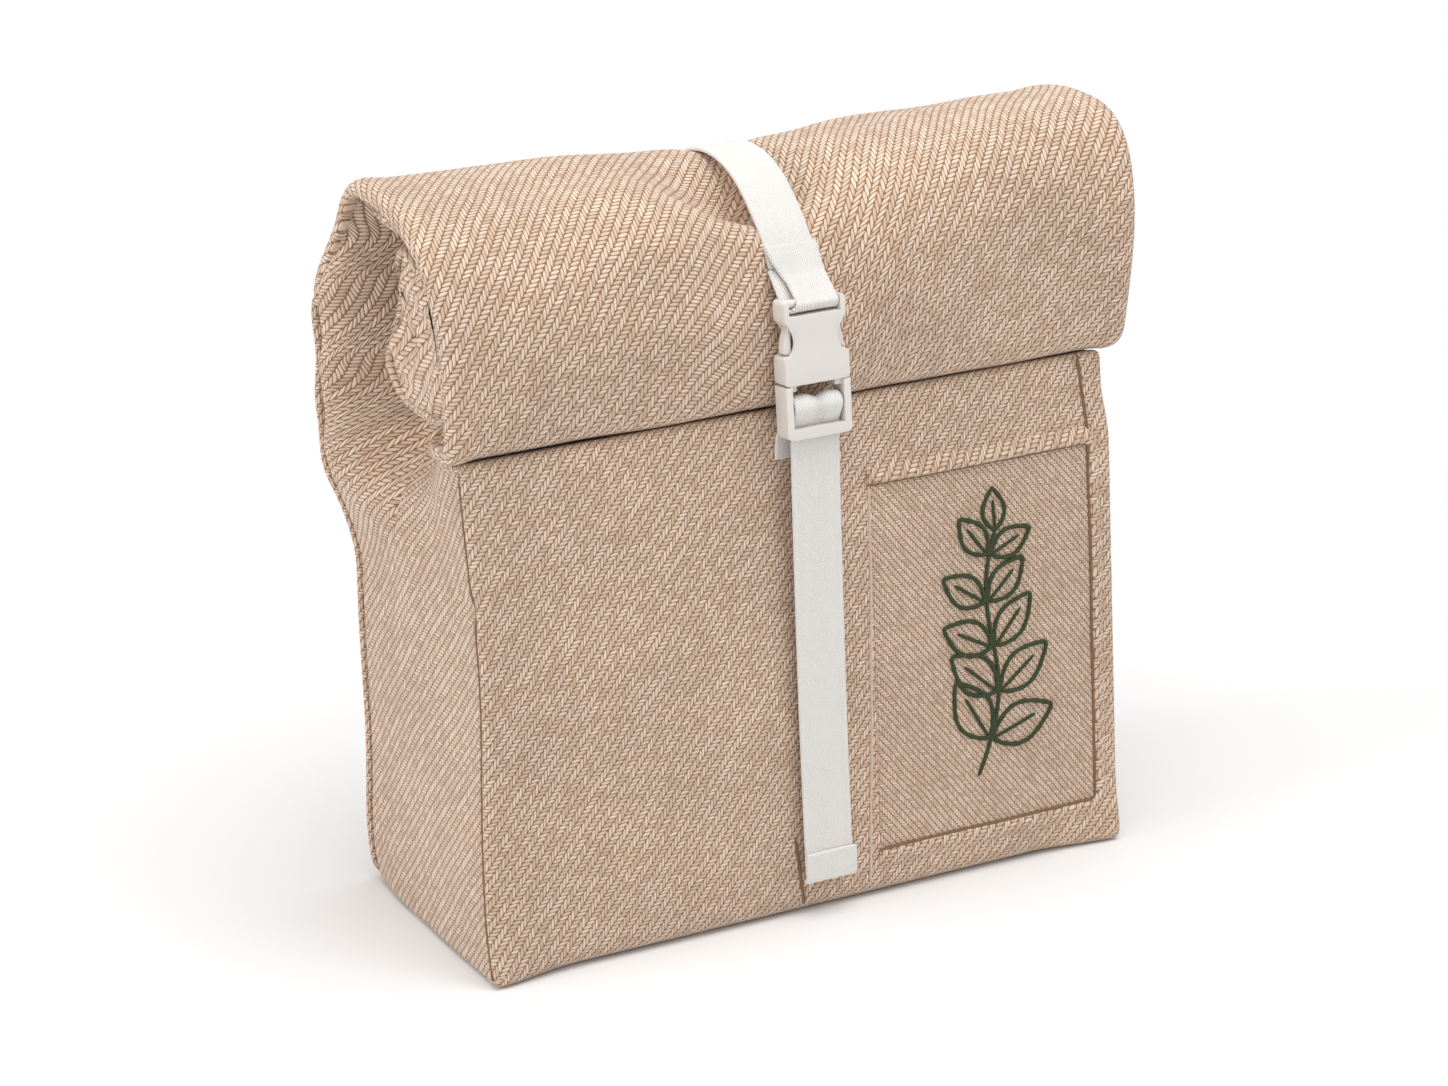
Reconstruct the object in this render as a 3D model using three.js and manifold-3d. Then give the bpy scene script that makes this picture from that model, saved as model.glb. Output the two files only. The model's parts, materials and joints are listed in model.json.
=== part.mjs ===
// Roll-top lunch bag: a sewn box of thick twill whose top is rolled forward and held by a buckled strap.
// Millimetres, +Z up. The origin is the middle of the base; -Y is the front, +X its right seen from there.

import * as THREE from 'three';
import { mergeVertices } from 'three/addons/utils/BufferGeometryUtils.js';
import Module from 'manifold-3d';

const wasm = await Module();
wasm.setup();

// Sewn box
const bagWidth = 260;
const baseDepth = 107;
const frontHeight = 187;
const frontSetback = 16.5; // the front leans back by this much from foot to top edge
const backHeight = 226;
const backSetback = 2.5; // the back stands out by this much from foot to top edge
const clothThickness = 4;
const baseCorner = 4;
const foldGap = 1.5; // room between a folded-in gusset and the roll as it lifts
const foldDepth = 28; // how far the gussets are drawn in under the roll
const foldDrop = 41; // height below the front's edge where the gussets begin to draw in
const foldFull = 19; // height above the front's edge where they are drawn in most
const foldFromCrown = 8; // the deepest of the fold, in front of the roll's crown
const foldMargin = 3; // cloth beside the seams that isn't drawn in
const seamGap = 0.3; // clearance between pieces that touch

// Lining and base board
const liningThickness = 1.5;
const liningDrop = 3; // the lining stops this far below the cloth's edge
const sideLiningGap = 3; // room between a gusset and its lining
const boardThickness = 2;
const boardMargin = 6;

// Patch on the front
const patchWidth = 95.5;
const patchHeight = 140;
const patchThickness = 1.8;
const patchFoot = 17;
const patchSideMargin = 6.6;
const patchCorner = 3;

// Rolled top
const rollOverhang = 6; // the roll's ends beyond the sides of the box
const rollThickness = 5.5; // front and back cloth lying together
const rollLift = 0.8; // height of the roll's underside above the front's edge
const noseOverhang = 2;
const noseRadius = 7;
const noseReturn = 8;
const crownFromBack = 41; // the crown lies this much less than the base's depth behind the nose
const crownRiseLeft = 42; // the crown above the back's edge, at the roll's left end
const crownRiseRight = 52;
const crownReachSlack = 26; // how far the front runs on level from the crown where the roll is slack
const crownReachFull = 76; // the same where it is full
const noseReachSlack = 16; // how far the front stands upright above the nose where the roll is slack
const noseReachFull = 66; // the same where it is full
const noseSwell = 12;
const strapPinch = 0.28; // share of the fullness that the strap takes away
const pinchHalfWidth = 45;
const turnGap = 0.8;
const turnFromCrown = 15.2; // the lowest turn's back, in front of the crown
const innerTurnRise = 15;
const innerTurnInset = 3.5;
const mouthLength = 18;

// Webbing
const strapX = 2;
const webbingWidth = 20;
const webbingThickness = 1.6;
const rearStrapLength = 90;
const tailFoot = 14;
const tailStandOff = 3.5;
const hemLength = 10;
const anchorLength = 9; // sewn length of the anchor strap below the buckle
const loopRise = 16;
const loopLap = 8;

// Side-release buckle
const buckleTilt = 6; // degrees from the vertical
const mouthRise = 2; // the socket's mouth above the middle of the roll's nose
const buckleGap = 1.6; // between the buckle and the cloth behind it
const sideBar = 2.6;
const buckleThickness = 8;
const socketLength = 30;
const mouthBlock = 10.5;
const headLength = 9.5;
const headSetIn = 0.6;
const waistHalf = 8.6;
const waistRound = 2; // how soon the waist curves out to the mouth block and the head
const socketWall = 1.5;
const barSize = 3;
const plugLength = 19.5;
const endBarDepth = 3.8;
const ladderDrop = 8.6;
const crossbarHeight = 2;
const crossbarDepth = 2;
const armThickness = 2.2;
const armLatch = 1.8;
const slackGap = 0.4; // clearance between moulded pieces that slide

// Facet counts
const shoulderSteps = 6;
const frontSteps = 12;
const noseSteps = 5;
const rollSections = 17;
const cornerSteps = 5;
const barSegments = 16;
const foldFacet = 8; // longest edge on a drawn-in gusset

const point = (y, z) => new THREE.Vector2(y, z);
const frontY = (z) => -baseDepth / 2 + frontSetback * z / frontHeight;
const backY = (z) => baseDepth / 2 + backSetback * z / backHeight;

const alongXBasis = new THREE.Matrix4().makeBasis(
  new THREE.Vector3(0, 1, 0),
  new THREE.Vector3(0, 0, 1),
  new THREE.Vector3(1, 0, 0),
);
const outwardBasis = new THREE.Matrix4().makeBasis(
  new THREE.Vector3(1, 0, 0),
  new THREE.Vector3(0, 0, 1),
  new THREE.Vector3(0, -1, 0),
);

function extrude(shape, from, to) {
  const options = { depth: to - from, bevelEnabled: false, curveSegments: 6 };
  return new THREE.ExtrudeGeometry(shape, options).translate(0, 0, from);
}

// A profile in the side view, points of (y, z), swept from one x to another
function sweepAlongX(profile, from, to) {
  return extrude(new THREE.Shape(profile), from, to).applyMatrix4(alongXBasis);
}

// A shape seen from the front, points of (x, z), given depth towards the front
function raiseOutward(shape, from, to) {
  return extrude(shape, from, to).applyMatrix4(outwardBasis);
}

function roundedRectangle(left, right, bottom, top, radius) {
  const shape = new THREE.Shape();
  shape.moveTo(left + radius, bottom);
  shape.lineTo(right - radius, bottom);
  shape.absarc(right - radius, bottom + radius, radius, -Math.PI / 2, 0);
  shape.absarc(right - radius, top - radius, radius, 0, Math.PI / 2);
  shape.absarc(left + radius, top - radius, radius, Math.PI / 2, Math.PI);
  shape.absarc(left + radius, bottom + radius, radius, Math.PI, Math.PI * 1.5);
  return shape;
}

// A path moved sideways, to its right-hand side where the distance is positive
function offsetPath(path, distance) {
  return path.map((at, i) => {
    const before = path[Math.max(i - 1, 0)];
    const after = path[Math.min(i + 1, path.length - 1)];
    const along = after.clone().sub(before);
    return at.clone().add(point(along.y, -along.x).setLength(1).multiplyScalar(distance));
  });
}

// Anticlockwise outline of a strip of even thickness that follows a path
function stripOutline(path, thickness) {
  const outline = [...offsetPath(path, thickness / 2), ...offsetPath(path, -thickness / 2).reverse()];
  return THREE.ShapeUtils.isClockWise(outline) ? outline.reverse() : outline;
}

// The same strip with round ends, swept along x; where the path doubles back its lengths just meet
function sweepStrip(path, thickness, from, to) {
  const round = wasm.CrossSection.circle(thickness / 2, barSegments);
  const spots = path.map((at) => round.translate([at.x, at.y]));
  const lengths = spots.slice(1).map((spot, i) => wasm.CrossSection.hull([spots[i], spot]));
  const strip = wasm.CrossSection.union(lengths);
  return toGeometry(strip.extrude(to - from)).translate(0, 0, from).applyMatrix4(alongXBasis);
}

// A path through corner points, each corner eased into a curve that starts a set distance before it
function easeCorners(corners, cut) {
  const path = [corners[0]];
  for (let i = 1; i < corners.length - 1; i += 1) {
    const before = corners[i].distanceTo(corners[i - 1]);
    const after = corners[i].distanceTo(corners[i + 1]);
    const start = corners[i].clone().lerp(corners[i - 1], Math.min(cut / before, 0.45));
    const end = corners[i].clone().lerp(corners[i + 1], Math.min(cut / after, 0.45));
    path.push(...new THREE.QuadraticBezierCurve(start, corners[i], end).getPoints(cornerSteps));
  }
  path.push(corners.at(-1));
  return path;
}

// A closed body through matching outlines, one at each x
function loft(outlines, positions) {
  const count = outlines[0].length;
  const vertices = [];
  const triangles = [];
  outlines.forEach((outline, section) => {
    outline.forEach((at) => vertices.push(positions[section], at.x, at.y));
  });
  for (let section = 0; section + 1 < outlines.length; section += 1) {
    for (let i = 0; i < count; i += 1) {
      const a = section * count + i;
      const b = section * count + (i + 1) % count;
      triangles.push(a, b, b + count, a, b + count, a + count);
    }
  }
  const last = (outlines.length - 1) * count;
  THREE.ShapeUtils.triangulateShape(outlines[0], []).forEach(([a, b, c]) => triangles.push(a, c, b));
  THREE.ShapeUtils.triangulateShape(outlines.at(-1), []).forEach(([a, b, c]) => {
    triangles.push(last + a, last + b, last + c);
  });
  const geometry = new THREE.BufferGeometry();
  geometry.setAttribute('position', new THREE.Float32BufferAttribute(vertices, 3));
  geometry.setIndex(triangles);
  return geometry;
}

function toSolid(geometry) {
  const bare = geometry.clone();
  bare.deleteAttribute('normal');
  bare.deleteAttribute('uv');
  const merged = mergeVertices(bare, 1e-4);
  return new wasm.Manifold(new wasm.Mesh({
    numProp: 3,
    vertProperties: Float32Array.from(merged.attributes.position.array),
    triVerts: Uint32Array.from(merged.index.array),
  }));
}

function toGeometry(solid) {
  const mesh = solid.getMesh();
  const geometry = new THREE.BufferGeometry();
  geometry.setAttribute('position', new THREE.Float32BufferAttribute(mesh.vertProperties, 3));
  geometry.setIndex(new THREE.Uint32BufferAttribute(mesh.triVerts, 1));
  return geometry;
}

const box = (x, y, z) => new THREE.BoxGeometry(x[1] - x[0], y[1] - y[0], z[1] - z[0]).translate(
  (x[0] + x[1]) / 2,
  (y[0] + y[1]) / 2,
  (z[0] + z[1]) / 2,
);

const twill = new THREE.MeshStandardMaterial({ color: 0xcaad90, roughness: 0.95, metalness: 0 });
const liningCloth = new THREE.MeshStandardMaterial({ color: 0xe4dac8, roughness: 0.9, metalness: 0 });
const boardPlastic = new THREE.MeshStandardMaterial({ color: 0x8f8a82, roughness: 0.7, metalness: 0 });
const webbing = new THREE.MeshStandardMaterial({ color: 0xf1efec, roughness: 0.8, metalness: 0 });
const bucklePlastic = new THREE.MeshStandardMaterial({ color: 0xeeebe6, roughness: 0.45, metalness: 0 });

const bag = new THREE.Group();

function addPiece(parent, name, geometry, material) {
  const piece = new THREE.Mesh(geometry, material);
  piece.name = name;
  parent.add(piece);
}

// Base: cloth below, a stiff board on it and the lining's floor on top
const half = bagWidth / 2;
const insideHalf = half - clothThickness - seamGap;
const liningHalf = half - clothThickness - sideLiningGap;
const wallFoot = clothThickness + seamGap;
const boardTop = wallFoot + boardThickness;
const floorFoot = boardTop + seamGap;
const floorTop = floorFoot + liningThickness;
const liningFoot = floorTop + seamGap;
const frontInside = (z) => frontY(z) + clothThickness + seamGap;
const backInside = (z) => backY(z) - clothThickness - seamGap;

const baseShape = roundedRectangle(-half, half, -baseDepth / 2, baseDepth / 2, baseCorner);
addPiece(bag, 'base_panel', extrude(baseShape, 0, clothThickness), twill);
const boardShape = roundedRectangle(
  -insideHalf + boardMargin,
  insideHalf - boardMargin,
  frontInside(boardTop) + boardMargin,
  backInside(0) - boardMargin,
  baseCorner,
);
addPiece(bag, 'base_board', extrude(boardShape, wallFoot, boardTop), boardPlastic);
addPiece(bag, 'base_lining', sweepAlongX([
  point(frontInside(floorFoot), floorFoot),
  point(backInside(floorFoot), floorFoot),
  point(backInside(floorTop), floorTop),
  point(frontInside(floorTop), floorTop),
], -insideHalf, insideHalf), liningCloth);

// A wall of even depth in y whose outer face follows the given lean
function wallProfile(face, inward, foot, top, thickness) {
  return [
    point(face(foot), foot),
    point(face(foot) + inward * thickness, foot),
    point(face(top) + inward * thickness, top),
    point(face(top), top),
  ];
}

const frontProfile = wallProfile(frontY, 1, wallFoot, frontHeight, clothThickness);
addPiece(bag, 'front_panel', sweepAlongX(frontProfile, -half, half), twill);
const backProfile = wallProfile(backY, -1, wallFoot, backHeight, clothThickness);
addPiece(bag, 'back_panel', sweepAlongX(backProfile, -half, half), twill);

const frontLiningTop = frontHeight - liningDrop;
const backLiningTop = backHeight - liningDrop;
const frontLining = wallProfile(frontInside, 1, liningFoot, frontLiningTop, liningThickness);
addPiece(bag, 'front_lining', sweepAlongX(frontLining, -liningHalf, liningHalf), liningCloth);
const backLining = wallProfile(backInside, -1, liningFoot, backLiningTop, liningThickness);
addPiece(bag, 'back_lining', sweepAlongX(backLining, -liningHalf, liningHalf), liningCloth);

// Rolled top: centre line of the doubled cloth, from the back's edge over the crown and round the nose
const noseY = frontY(frontHeight) - noseOverhang + rollThickness / 2;
const noseZ = frontHeight + rollLift + rollThickness / 2 + noseRadius;
const crownY = noseY + baseDepth - crownFromBack;
const crownLeft = backHeight + crownRiseLeft;
const crownRight = backHeight + crownRiseRight;
const wrapStart = point(backY(backHeight) - rollThickness / 2, backHeight + seamGap);
const rollLength = bagWidth + 2 * rollOverhang;
const rollFrom = -rollLength / 2;
const crownAt = (x) => THREE.MathUtils.lerp(crownLeft, crownRight, x / rollLength + 0.5);

// The roll is slack at its left end, full at its right end and drawn in at the strap
function fullnessAt(x) {
  const pinch = strapPinch * Math.exp(-(((x - strapX) / pinchHalfWidth) ** 4));
  return x / rollLength + 0.5 - pinch;
}

function wrapFront(crownZ, fullness, share) {
  const crown = point(crownY, crownZ - rollThickness / 2);
  const nose = point(noseY, noseZ);
  const crownReach = THREE.MathUtils.lerp(crownReachSlack, crownReachFull, fullness);
  const noseReach = THREE.MathUtils.lerp(noseReachSlack, noseReachFull, fullness);
  const afterCrown = point(crownY - crownReach, crown.y);
  const beforeNose = point(noseY - noseSwell * fullness, noseZ + noseReach);
  return new THREE.CubicBezierCurve(crown, afterCrown, beforeNose, nose).getPoint(share);
}

function wrapPath(crownZ, fullness) {
  const path = [];
  for (let i = 0; i < shoulderSteps; i += 1) {
    const angle = i / shoulderSteps * Math.PI / 2;
    path.push(point(
      crownY + (wrapStart.x - crownY) * Math.cos(angle),
      wrapStart.y + (crownZ - rollThickness / 2 - wrapStart.y) * Math.sin(angle),
    ));
  }
  for (let i = 0; i < frontSteps; i += 1) {
    path.push(wrapFront(crownZ, fullness, i / frontSteps));
  }
  for (let i = 0; i <= noseSteps; i += 1) {
    const angle = Math.PI * (1 + i / noseSteps / 2);
    path.push(point(noseY + noseRadius * (1 + Math.cos(angle)), noseZ + noseRadius * Math.sin(angle)));
  }
  path.push(point(noseY + noseRadius + noseReturn, noseZ - noseRadius));
  return path;
}

const sectionPitch = rollLength / (rollSections - 1);
const sectionX = Array.from({ length: rollSections }, (_, i) => rollFrom + sectionPitch * i);
const wrapOutlines = sectionX.map((x) => stripOutline(wrapPath(crownAt(x), fullnessAt(x)), rollThickness));
addPiece(bag, 'roll_outer_wrap', loft(wrapOutlines, sectionX), twill);

// Inner turns: back along the underside, up, down inside the tightest wrap, then again to the mouth's edge
const turnPitch = rollThickness + turnGap;
const tightCrown = Math.min(crownLeft, crownRight);
const tightFullness = Math.min(...sectionX.map(fullnessAt));
const frontStations = [0.4, 0.66, 0.92]; // shares of the wrap's front, from crown to nose

function insideWrap(share) {
  const on = wrapFront(tightCrown, tightFullness, share);
  const along = wrapFront(tightCrown, tightFullness, share + 0.01).sub(on);
  return on.add(point(-along.y, along.x).setLength(turnPitch));
}

const returnEnd = noseY + noseRadius + noseReturn;
const turnStart = point(returnEnd + seamGap + rollThickness / 2, noseZ - noseRadius);
const turnLead = turnStart.clone().add(point(rollThickness / 2, 0));
const turnBack = point(crownY - turnFromCrown, turnLead.y + innerTurnRise);
const turnFront = frontStations.map(insideWrap);
const risingAway = turnFront[0].clone().sub(turnBack).normalize();
const bottomAway = turnBack.clone().sub(turnLead).normalize();
const bottomInward = point(-bottomAway.y, bottomAway.x);
const risingInward = point(-risingAway.y, risingAway.x);
const mitre = turnPitch / (1 + bottomInward.dot(risingInward));
const secondBack = turnBack.clone().addScaledVector(bottomInward.clone().add(risingInward), mitre);
const secondStart = point(noseY + noseRadius + turnPitch / 2, noseZ - noseRadius + turnPitch + turnGap);
const mouthEdge = secondBack.clone().addScaledVector(risingAway, mouthLength);
const turnCorners = [turnStart, turnLead, turnBack, ...turnFront, secondStart, secondBack, mouthEdge];
const turnPath = easeCorners(turnCorners, 2 * rollThickness);
const turnEnd = rollLength / 2 - innerTurnInset;
addPiece(bag, 'roll_inner_turn', sweepStrip(turnPath, rollThickness, -turnEnd, turnEnd), twill);

// Gussets: their tops fold in and close the roll's ends, clear of the inner turns as the roll lifts
const liftAxis = point(backY(backHeight) + 2 * seamGap + webbingThickness, backHeight + seamGap / 2);
const dipOf = (at) => Math.atan2(liftAxis.y - at.y, liftAxis.x - at.x);
const turnOutline = stripOutline(turnPath, rollThickness);
const rollDip = Math.max(...turnOutline.map(dipOf));
const foldRadius = Math.min(...turnOutline.map((at) => at.distanceTo(liftAxis))) - foldGap;
const foldDip = rollDip + 2 * foldGap / foldRadius;

function gussetProfile(foot, frontTop, backTop, inset) {
  const foldFoot = liftAxis.x - (liftAxis.y - frontTop) / Math.tan(foldDip);
  return [
    point(frontInside(foot) + inset, foot),
    point(backInside(foot) - inset, foot),
    point(backInside(backTop) - inset, backTop),
    point(foldFoot + inset, frontTop),
    point(frontInside(frontTop) + inset, frontTop),
  ];
}

// Outline of the room inside the wrap at one end of the roll, carried down into the box
function roomInsideWrap(x) {
  const inner = offsetPath(wrapPath(crownAt(x), fullnessAt(x)), -rollThickness / 2 - foldGap);
  return [point(inner[0].x, wallFoot), ...inner, point(inner.at(-1).x, wallFoot)];
}

// How far a point of the side is drawn in
function drawnIn(y, z) {
  const deepest = crownY - foldFromCrown;
  const fromFront = THREE.MathUtils.smoothstep(y, frontInside(z) + foldMargin, deepest);
  const fromBack = 1 - THREE.MathUtils.smoothstep(y, deepest, backInside(z) - foldMargin);
  const upward = THREE.MathUtils.smoothstep(z, frontHeight - foldDrop, frontHeight + foldFull);
  return foldDepth * fromFront * fromBack * upward;
}

// A flat side wall as one body with its upper part drawn in
function drawInSide(wall, side) {
  return toGeometry(wall.refineToLength(foldFacet).warp((at) => {
    at[0] -= side * drawnIn(at[1], at[2]);
  }));
}

const foldCircle = new THREE.EllipseCurve(liftAxis.x, liftAxis.y, foldRadius, foldRadius).getPoints(48);
const gusset = gussetProfile(wallFoot, frontHeight, backHeight, 0);
const sideLiningIn = liningThickness + seamGap;
const sideLining = gussetProfile(liningFoot, frontLiningTop, backLiningTop, sideLiningIn);
for (const [side, name] of [[-1, 'left'], [1, 'right']]) {
  const outer = [side * half, side * (half - clothThickness)].sort((a, b) => a - b);
  const inner = [side * liningHalf, side * (liningHalf - liningThickness)].sort((a, b) => a - b);
  const fold = toSolid(sweepAlongX(foldCircle, ...outer))
    .intersect(toSolid(sweepAlongX(roomInsideWrap(side * half), ...outer)));
  const wall = toSolid(sweepAlongX(gusset, ...outer)).add(fold);
  addPiece(bag, `${name}_gusset`, drawInSide(wall, side), twill);
  addPiece(bag, `${name}_lining`, drawInSide(toSolid(sweepAlongX(sideLining, ...inner)), side), liningCloth);
}

// Patch, set on the leaning front
const frontPlane = new THREE.Group();
frontPlane.position.set(0, frontY(0), 0);
frontPlane.rotation.x = -Math.atan2(frontSetback, frontHeight);
bag.add(frontPlane);
const patchRight = half - patchSideMargin;
const patchShape = roundedRectangle(
  patchRight - patchWidth,
  patchRight,
  patchFoot,
  patchFoot + patchHeight,
  patchCorner,
);
addPiece(frontPlane, 'front_patch', raiseOutward(patchShape, seamGap, seamGap + patchThickness), twill);

// Buckle seat: a tilted plane that just clears the roll; u runs up the buckle, w runs out from the bag
const tilt = THREE.MathUtils.degToRad(buckleTilt);
const upAxis = point(Math.sin(tilt), Math.cos(tilt));
const outAxis = point(-Math.cos(tilt), Math.sin(tilt));
const webHalf = webbingWidth / 2;
const openingHalf = webHalf + slackGap;
const buckleHalf = openingHalf + sideBar;
const acrossBuckle = [-buckleHalf, -webHalf, 0, webHalf, buckleHalf].map((v) => strapX + v);
const wrapReach = Math.max(...acrossBuckle.flatMap((x) => (
  wrapPath(crownAt(x), fullnessAt(x)).map((at) => at.dot(outAxis) + rollThickness / 2)
)));
const mouthU = point(noseY, noseZ).dot(upAxis) + mouthRise;
const upFromMouth = (at) => at.dot(upAxis) - mouthU;

// Strap over the roll, lying on the fullest of the cloth under its width
const strapCrown = Math.max(...acrossBuckle.map(crownAt));
const strapFullness = Math.max(...acrossBuckle.map(fullnessAt));
const onWrap = rollThickness / 2 + seamGap + webbingThickness / 2;
const loopTop = socketLength + loopRise;
const lapFoot = loopTop - loopLap;
const clothUnderStrap = wrapPath(strapCrown, strapFullness);
const liftedPath = offsetPath(clothUnderStrap, onWrap);

// Where the strap, past the crown, comes down to a height up the buckle
function strapAt(height) {
  const below = liftedPath.findIndex((at, i) => i > shoulderSteps && upFromMouth(at) < height);
  const highEnd = liftedPath[below - 1];
  const lowEnd = liftedPath[below];
  const share = (upFromMouth(highEnd) - height) / (upFromMouth(highEnd) - upFromMouth(lowEnd));
  return { below, at: highEnd.clone().lerp(lowEnd, share) };
}

const lapStart = strapAt(loopTop).at;
const lapEnd = strapAt(lapFoot);
const overStrapPath = [...liftedPath.slice(0, lapEnd.below), lapEnd.at];
const overStrap = stripOutline(overStrapPath, webbingThickness);
addPiece(bag, 'over_strap', sweepAlongX(overStrap, strapX - webHalf, strapX + webHalf), webbing);
const strapReach = Math.max(...overStrapPath.map((at) => at.dot(outAxis))) + webbingThickness / 2;

const rearStrap = wallProfile(
  (z) => backY(z) + seamGap,
  1,
  backHeight - rearStrapLength,
  backHeight,
  webbingThickness,
);
addPiece(bag, 'rear_strap', sweepAlongX(rearStrap, strapX - webHalf, strapX + webHalf), webbing);

const seatReach = Math.max(wrapReach, strapReach) + buckleGap;
const seat = upAxis.clone().multiplyScalar(mouthU).addScaledVector(outAxis, seatReach);
const buckle = new THREE.Group();
buckle.position.set(strapX, seat.x, seat.y);
buckle.rotation.x = -tilt;
bag.add(buckle);

// A point of (w, u) on the buckle's side view, as the (y, z) of the buckle's own group
const onBuckle = (w, u) => point(-w, u);
const toBuckle = (at) => onBuckle(at.clone().sub(seat).dot(outAxis), at.clone().sub(seat).dot(upAxis));

// Loop of webbing sewn to the strap and passed round the socket's bar
const barU = socketLength - barSize / 2;
const barW = buckleThickness / 2 + slackGap;
const turnRadius = barSize / 2 + seamGap + webbingThickness / 2;

// Angle in the side view, from straight out, at which webbing from a point meets its turn round a bar
function meetAngle(at, barHeight, side) {
  const from = at.clone().sub(onBuckle(barW, barHeight));
  return Math.atan2(from.y, -from.x) + side * Math.acos(turnRadius / from.length());
}

function turnRound(barHeight, fromAngle, toAngle) {
  return Array.from({ length: 2 * cornerSteps + 1 }, (_, i) => {
    const angle = THREE.MathUtils.lerp(fromAngle, toAngle, i / (2 * cornerSteps));
    return onBuckle(barW + turnRadius * Math.cos(angle), barHeight + turnRadius * Math.sin(angle));
  });
}

const lapLayer = (distance) => offsetPath([toBuckle(lapStart), toBuckle(lapEnd.at)], distance);
const backLayer = lapLayer(webbingThickness + slackGap);
const frontLayer = lapLayer(2 * (webbingThickness + slackGap));
const loopFrom = meetAngle(backLayer[1], barU, 1);
const loopTo = meetAngle(frontLayer[1], barU, -1) + 2 * Math.PI;
const loopPath = [
  ...backLayer,
  ...turnRound(barU, loopFrom, loopTo),
  ...frontLayer.reverse(),
];
const loopOutline = stripOutline(loopPath, webbingThickness);
addPiece(buckle, 'socket_loop', sweepAlongX(loopOutline, -webHalf, webHalf), webbing);

// Socket: a flat shell with a mouth block, an open waist and a slotted head
function mirrorOutline(halfOutline) {
  const mirrored = halfOutline.map((at) => point(-at.x, at.y)).reverse();
  return new THREE.Shape([...halfOutline, ...mirrored]);
}

const headHalf = buckleHalf - headSetIn;
const headFoot = socketLength - headLength;
const edgeRound = 1.8;
const waistMiddle = (mouthBlock + headFoot) / 2;
const socketEdge = new THREE.Path();
socketEdge.moveTo(buckleHalf - edgeRound, 0);
socketEdge.quadraticCurveTo(buckleHalf, 0, buckleHalf, edgeRound);
socketEdge.lineTo(buckleHalf, mouthBlock - edgeRound);
socketEdge.quadraticCurveTo(buckleHalf, mouthBlock, buckleHalf - edgeRound, mouthBlock);
socketEdge.bezierCurveTo(
  waistHalf + edgeRound,
  mouthBlock,
  waistHalf,
  mouthBlock + waistRound,
  waistHalf,
  waistMiddle,
);
socketEdge.bezierCurveTo(
  waistHalf,
  headFoot - waistRound,
  headHalf - waistRound,
  headFoot,
  headHalf - edgeRound / 3,
  headFoot + waistRound,
);
const headTurn = headFoot + waistRound + edgeRound / 3;
socketEdge.quadraticCurveTo(headHalf, headTurn, headHalf, headTurn + edgeRound);
socketEdge.lineTo(headHalf, socketLength - edgeRound);
socketEdge.quadraticCurveTo(headHalf, socketLength, headHalf - edgeRound, socketLength);
const socketShape = mirrorOutline(socketEdge.getPoints(6));

const across = [-openingHalf, openingHalf];
const through = [-buckleThickness - slackGap, slackGap];
const slotHeight = 2 * seamGap + webbingThickness + slackGap;
const slotFoot = socketLength - barSize - slotHeight;
const chamberHalf = openingHalf + slackGap;
const chamberTop = slotFoot - socketWall;
const chamber = box(
  [-chamberHalf, chamberHalf],
  [socketWall - buckleThickness, -socketWall],
  [-slackGap, chamberTop],
);
const slot = box(across, through, [slotFoot, socketLength + slackGap]);
const barLength = 2 * openingHalf + sideBar;
const barAcross = (u) => new THREE.CylinderGeometry(barSize / 2, barSize / 2, barLength, barSegments)
  .rotateZ(Math.PI / 2)
  .translate(0, -barW, u);
const socket = toSolid(raiseOutward(socketShape, 0, buckleThickness))
  .subtract(toSolid(chamber))
  .subtract(toSolid(slot))
  .add(toSolid(barAcross(barU)));
addPiece(buckle, 'buckle_socket', toGeometry(socket), bucklePlastic);

// Plug: a frame with an end bar and a ladder bar for the webbing, and a crossbar inside the socket's mouth
const frameTop = -slackGap;
const frameEdge = new THREE.Path();
frameEdge.moveTo(buckleHalf, frameTop);
frameEdge.lineTo(buckleHalf, sideBar - plugLength);
frameEdge.quadraticCurveTo(buckleHalf, -plugLength, buckleHalf - sideBar, -plugLength);
const frameShape = mirrorOutline(frameEdge.getPoints(4));
const endBarTop = endBarDepth - plugLength;
const endBarBack = barW + seamGap;
const crossbarFoot = slackGap;
const crossbarTop = crossbarFoot + crossbarHeight;
const crossbarFace = socketWall + slackGap - buckleThickness;
const crossbarY = [crossbarFace, crossbarFace + crossbarDepth];
const legInside = openingHalf - sideBar;
const plugFrame = toSolid(raiseOutward(frameShape, 0, buckleThickness))
  .subtract(toSolid(box(across, through, [endBarTop, slackGap])))
  .subtract(toSolid(box(across, [-endBarBack, slackGap], [-plugLength - slackGap, endBarTop])));
const crossbar = box([-openingHalf, openingHalf], crossbarY, [crossbarFoot, crossbarTop]);
const legs = [-1, 1].map((side) => box(
  [side * legInside, side * (openingHalf + sideBar / 2)].sort((a, b) => a - b),
  crossbarY,
  [frameTop - crossbarHeight, frameTop],
));
const necks = [-1, 1].map((side) => box(
  [side * legInside, side * openingHalf].sort((a, b) => a - b),
  crossbarY,
  [frameTop - crossbarHeight, crossbarTop],
));
const plug = [barAcross(-ladderDrop), crossbar, ...legs, ...necks].reduce(
  (solid, bar) => solid.add(toSolid(bar)),
  plugFrame,
);
addPiece(buckle, 'plug_frame', toGeometry(plug), bucklePlastic);

// Release arms: sprung leaves that stand on the crossbar and bow out of the socket's waist
const armFoot = crossbarTop + seamGap;
const armTip = chamberTop - slackGap;
const armOuter = chamberHalf - slackGap;
const latchFoot = mouthBlock + slackGap;
const armMiddle = (latchFoot + armTip) / 2;

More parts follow.
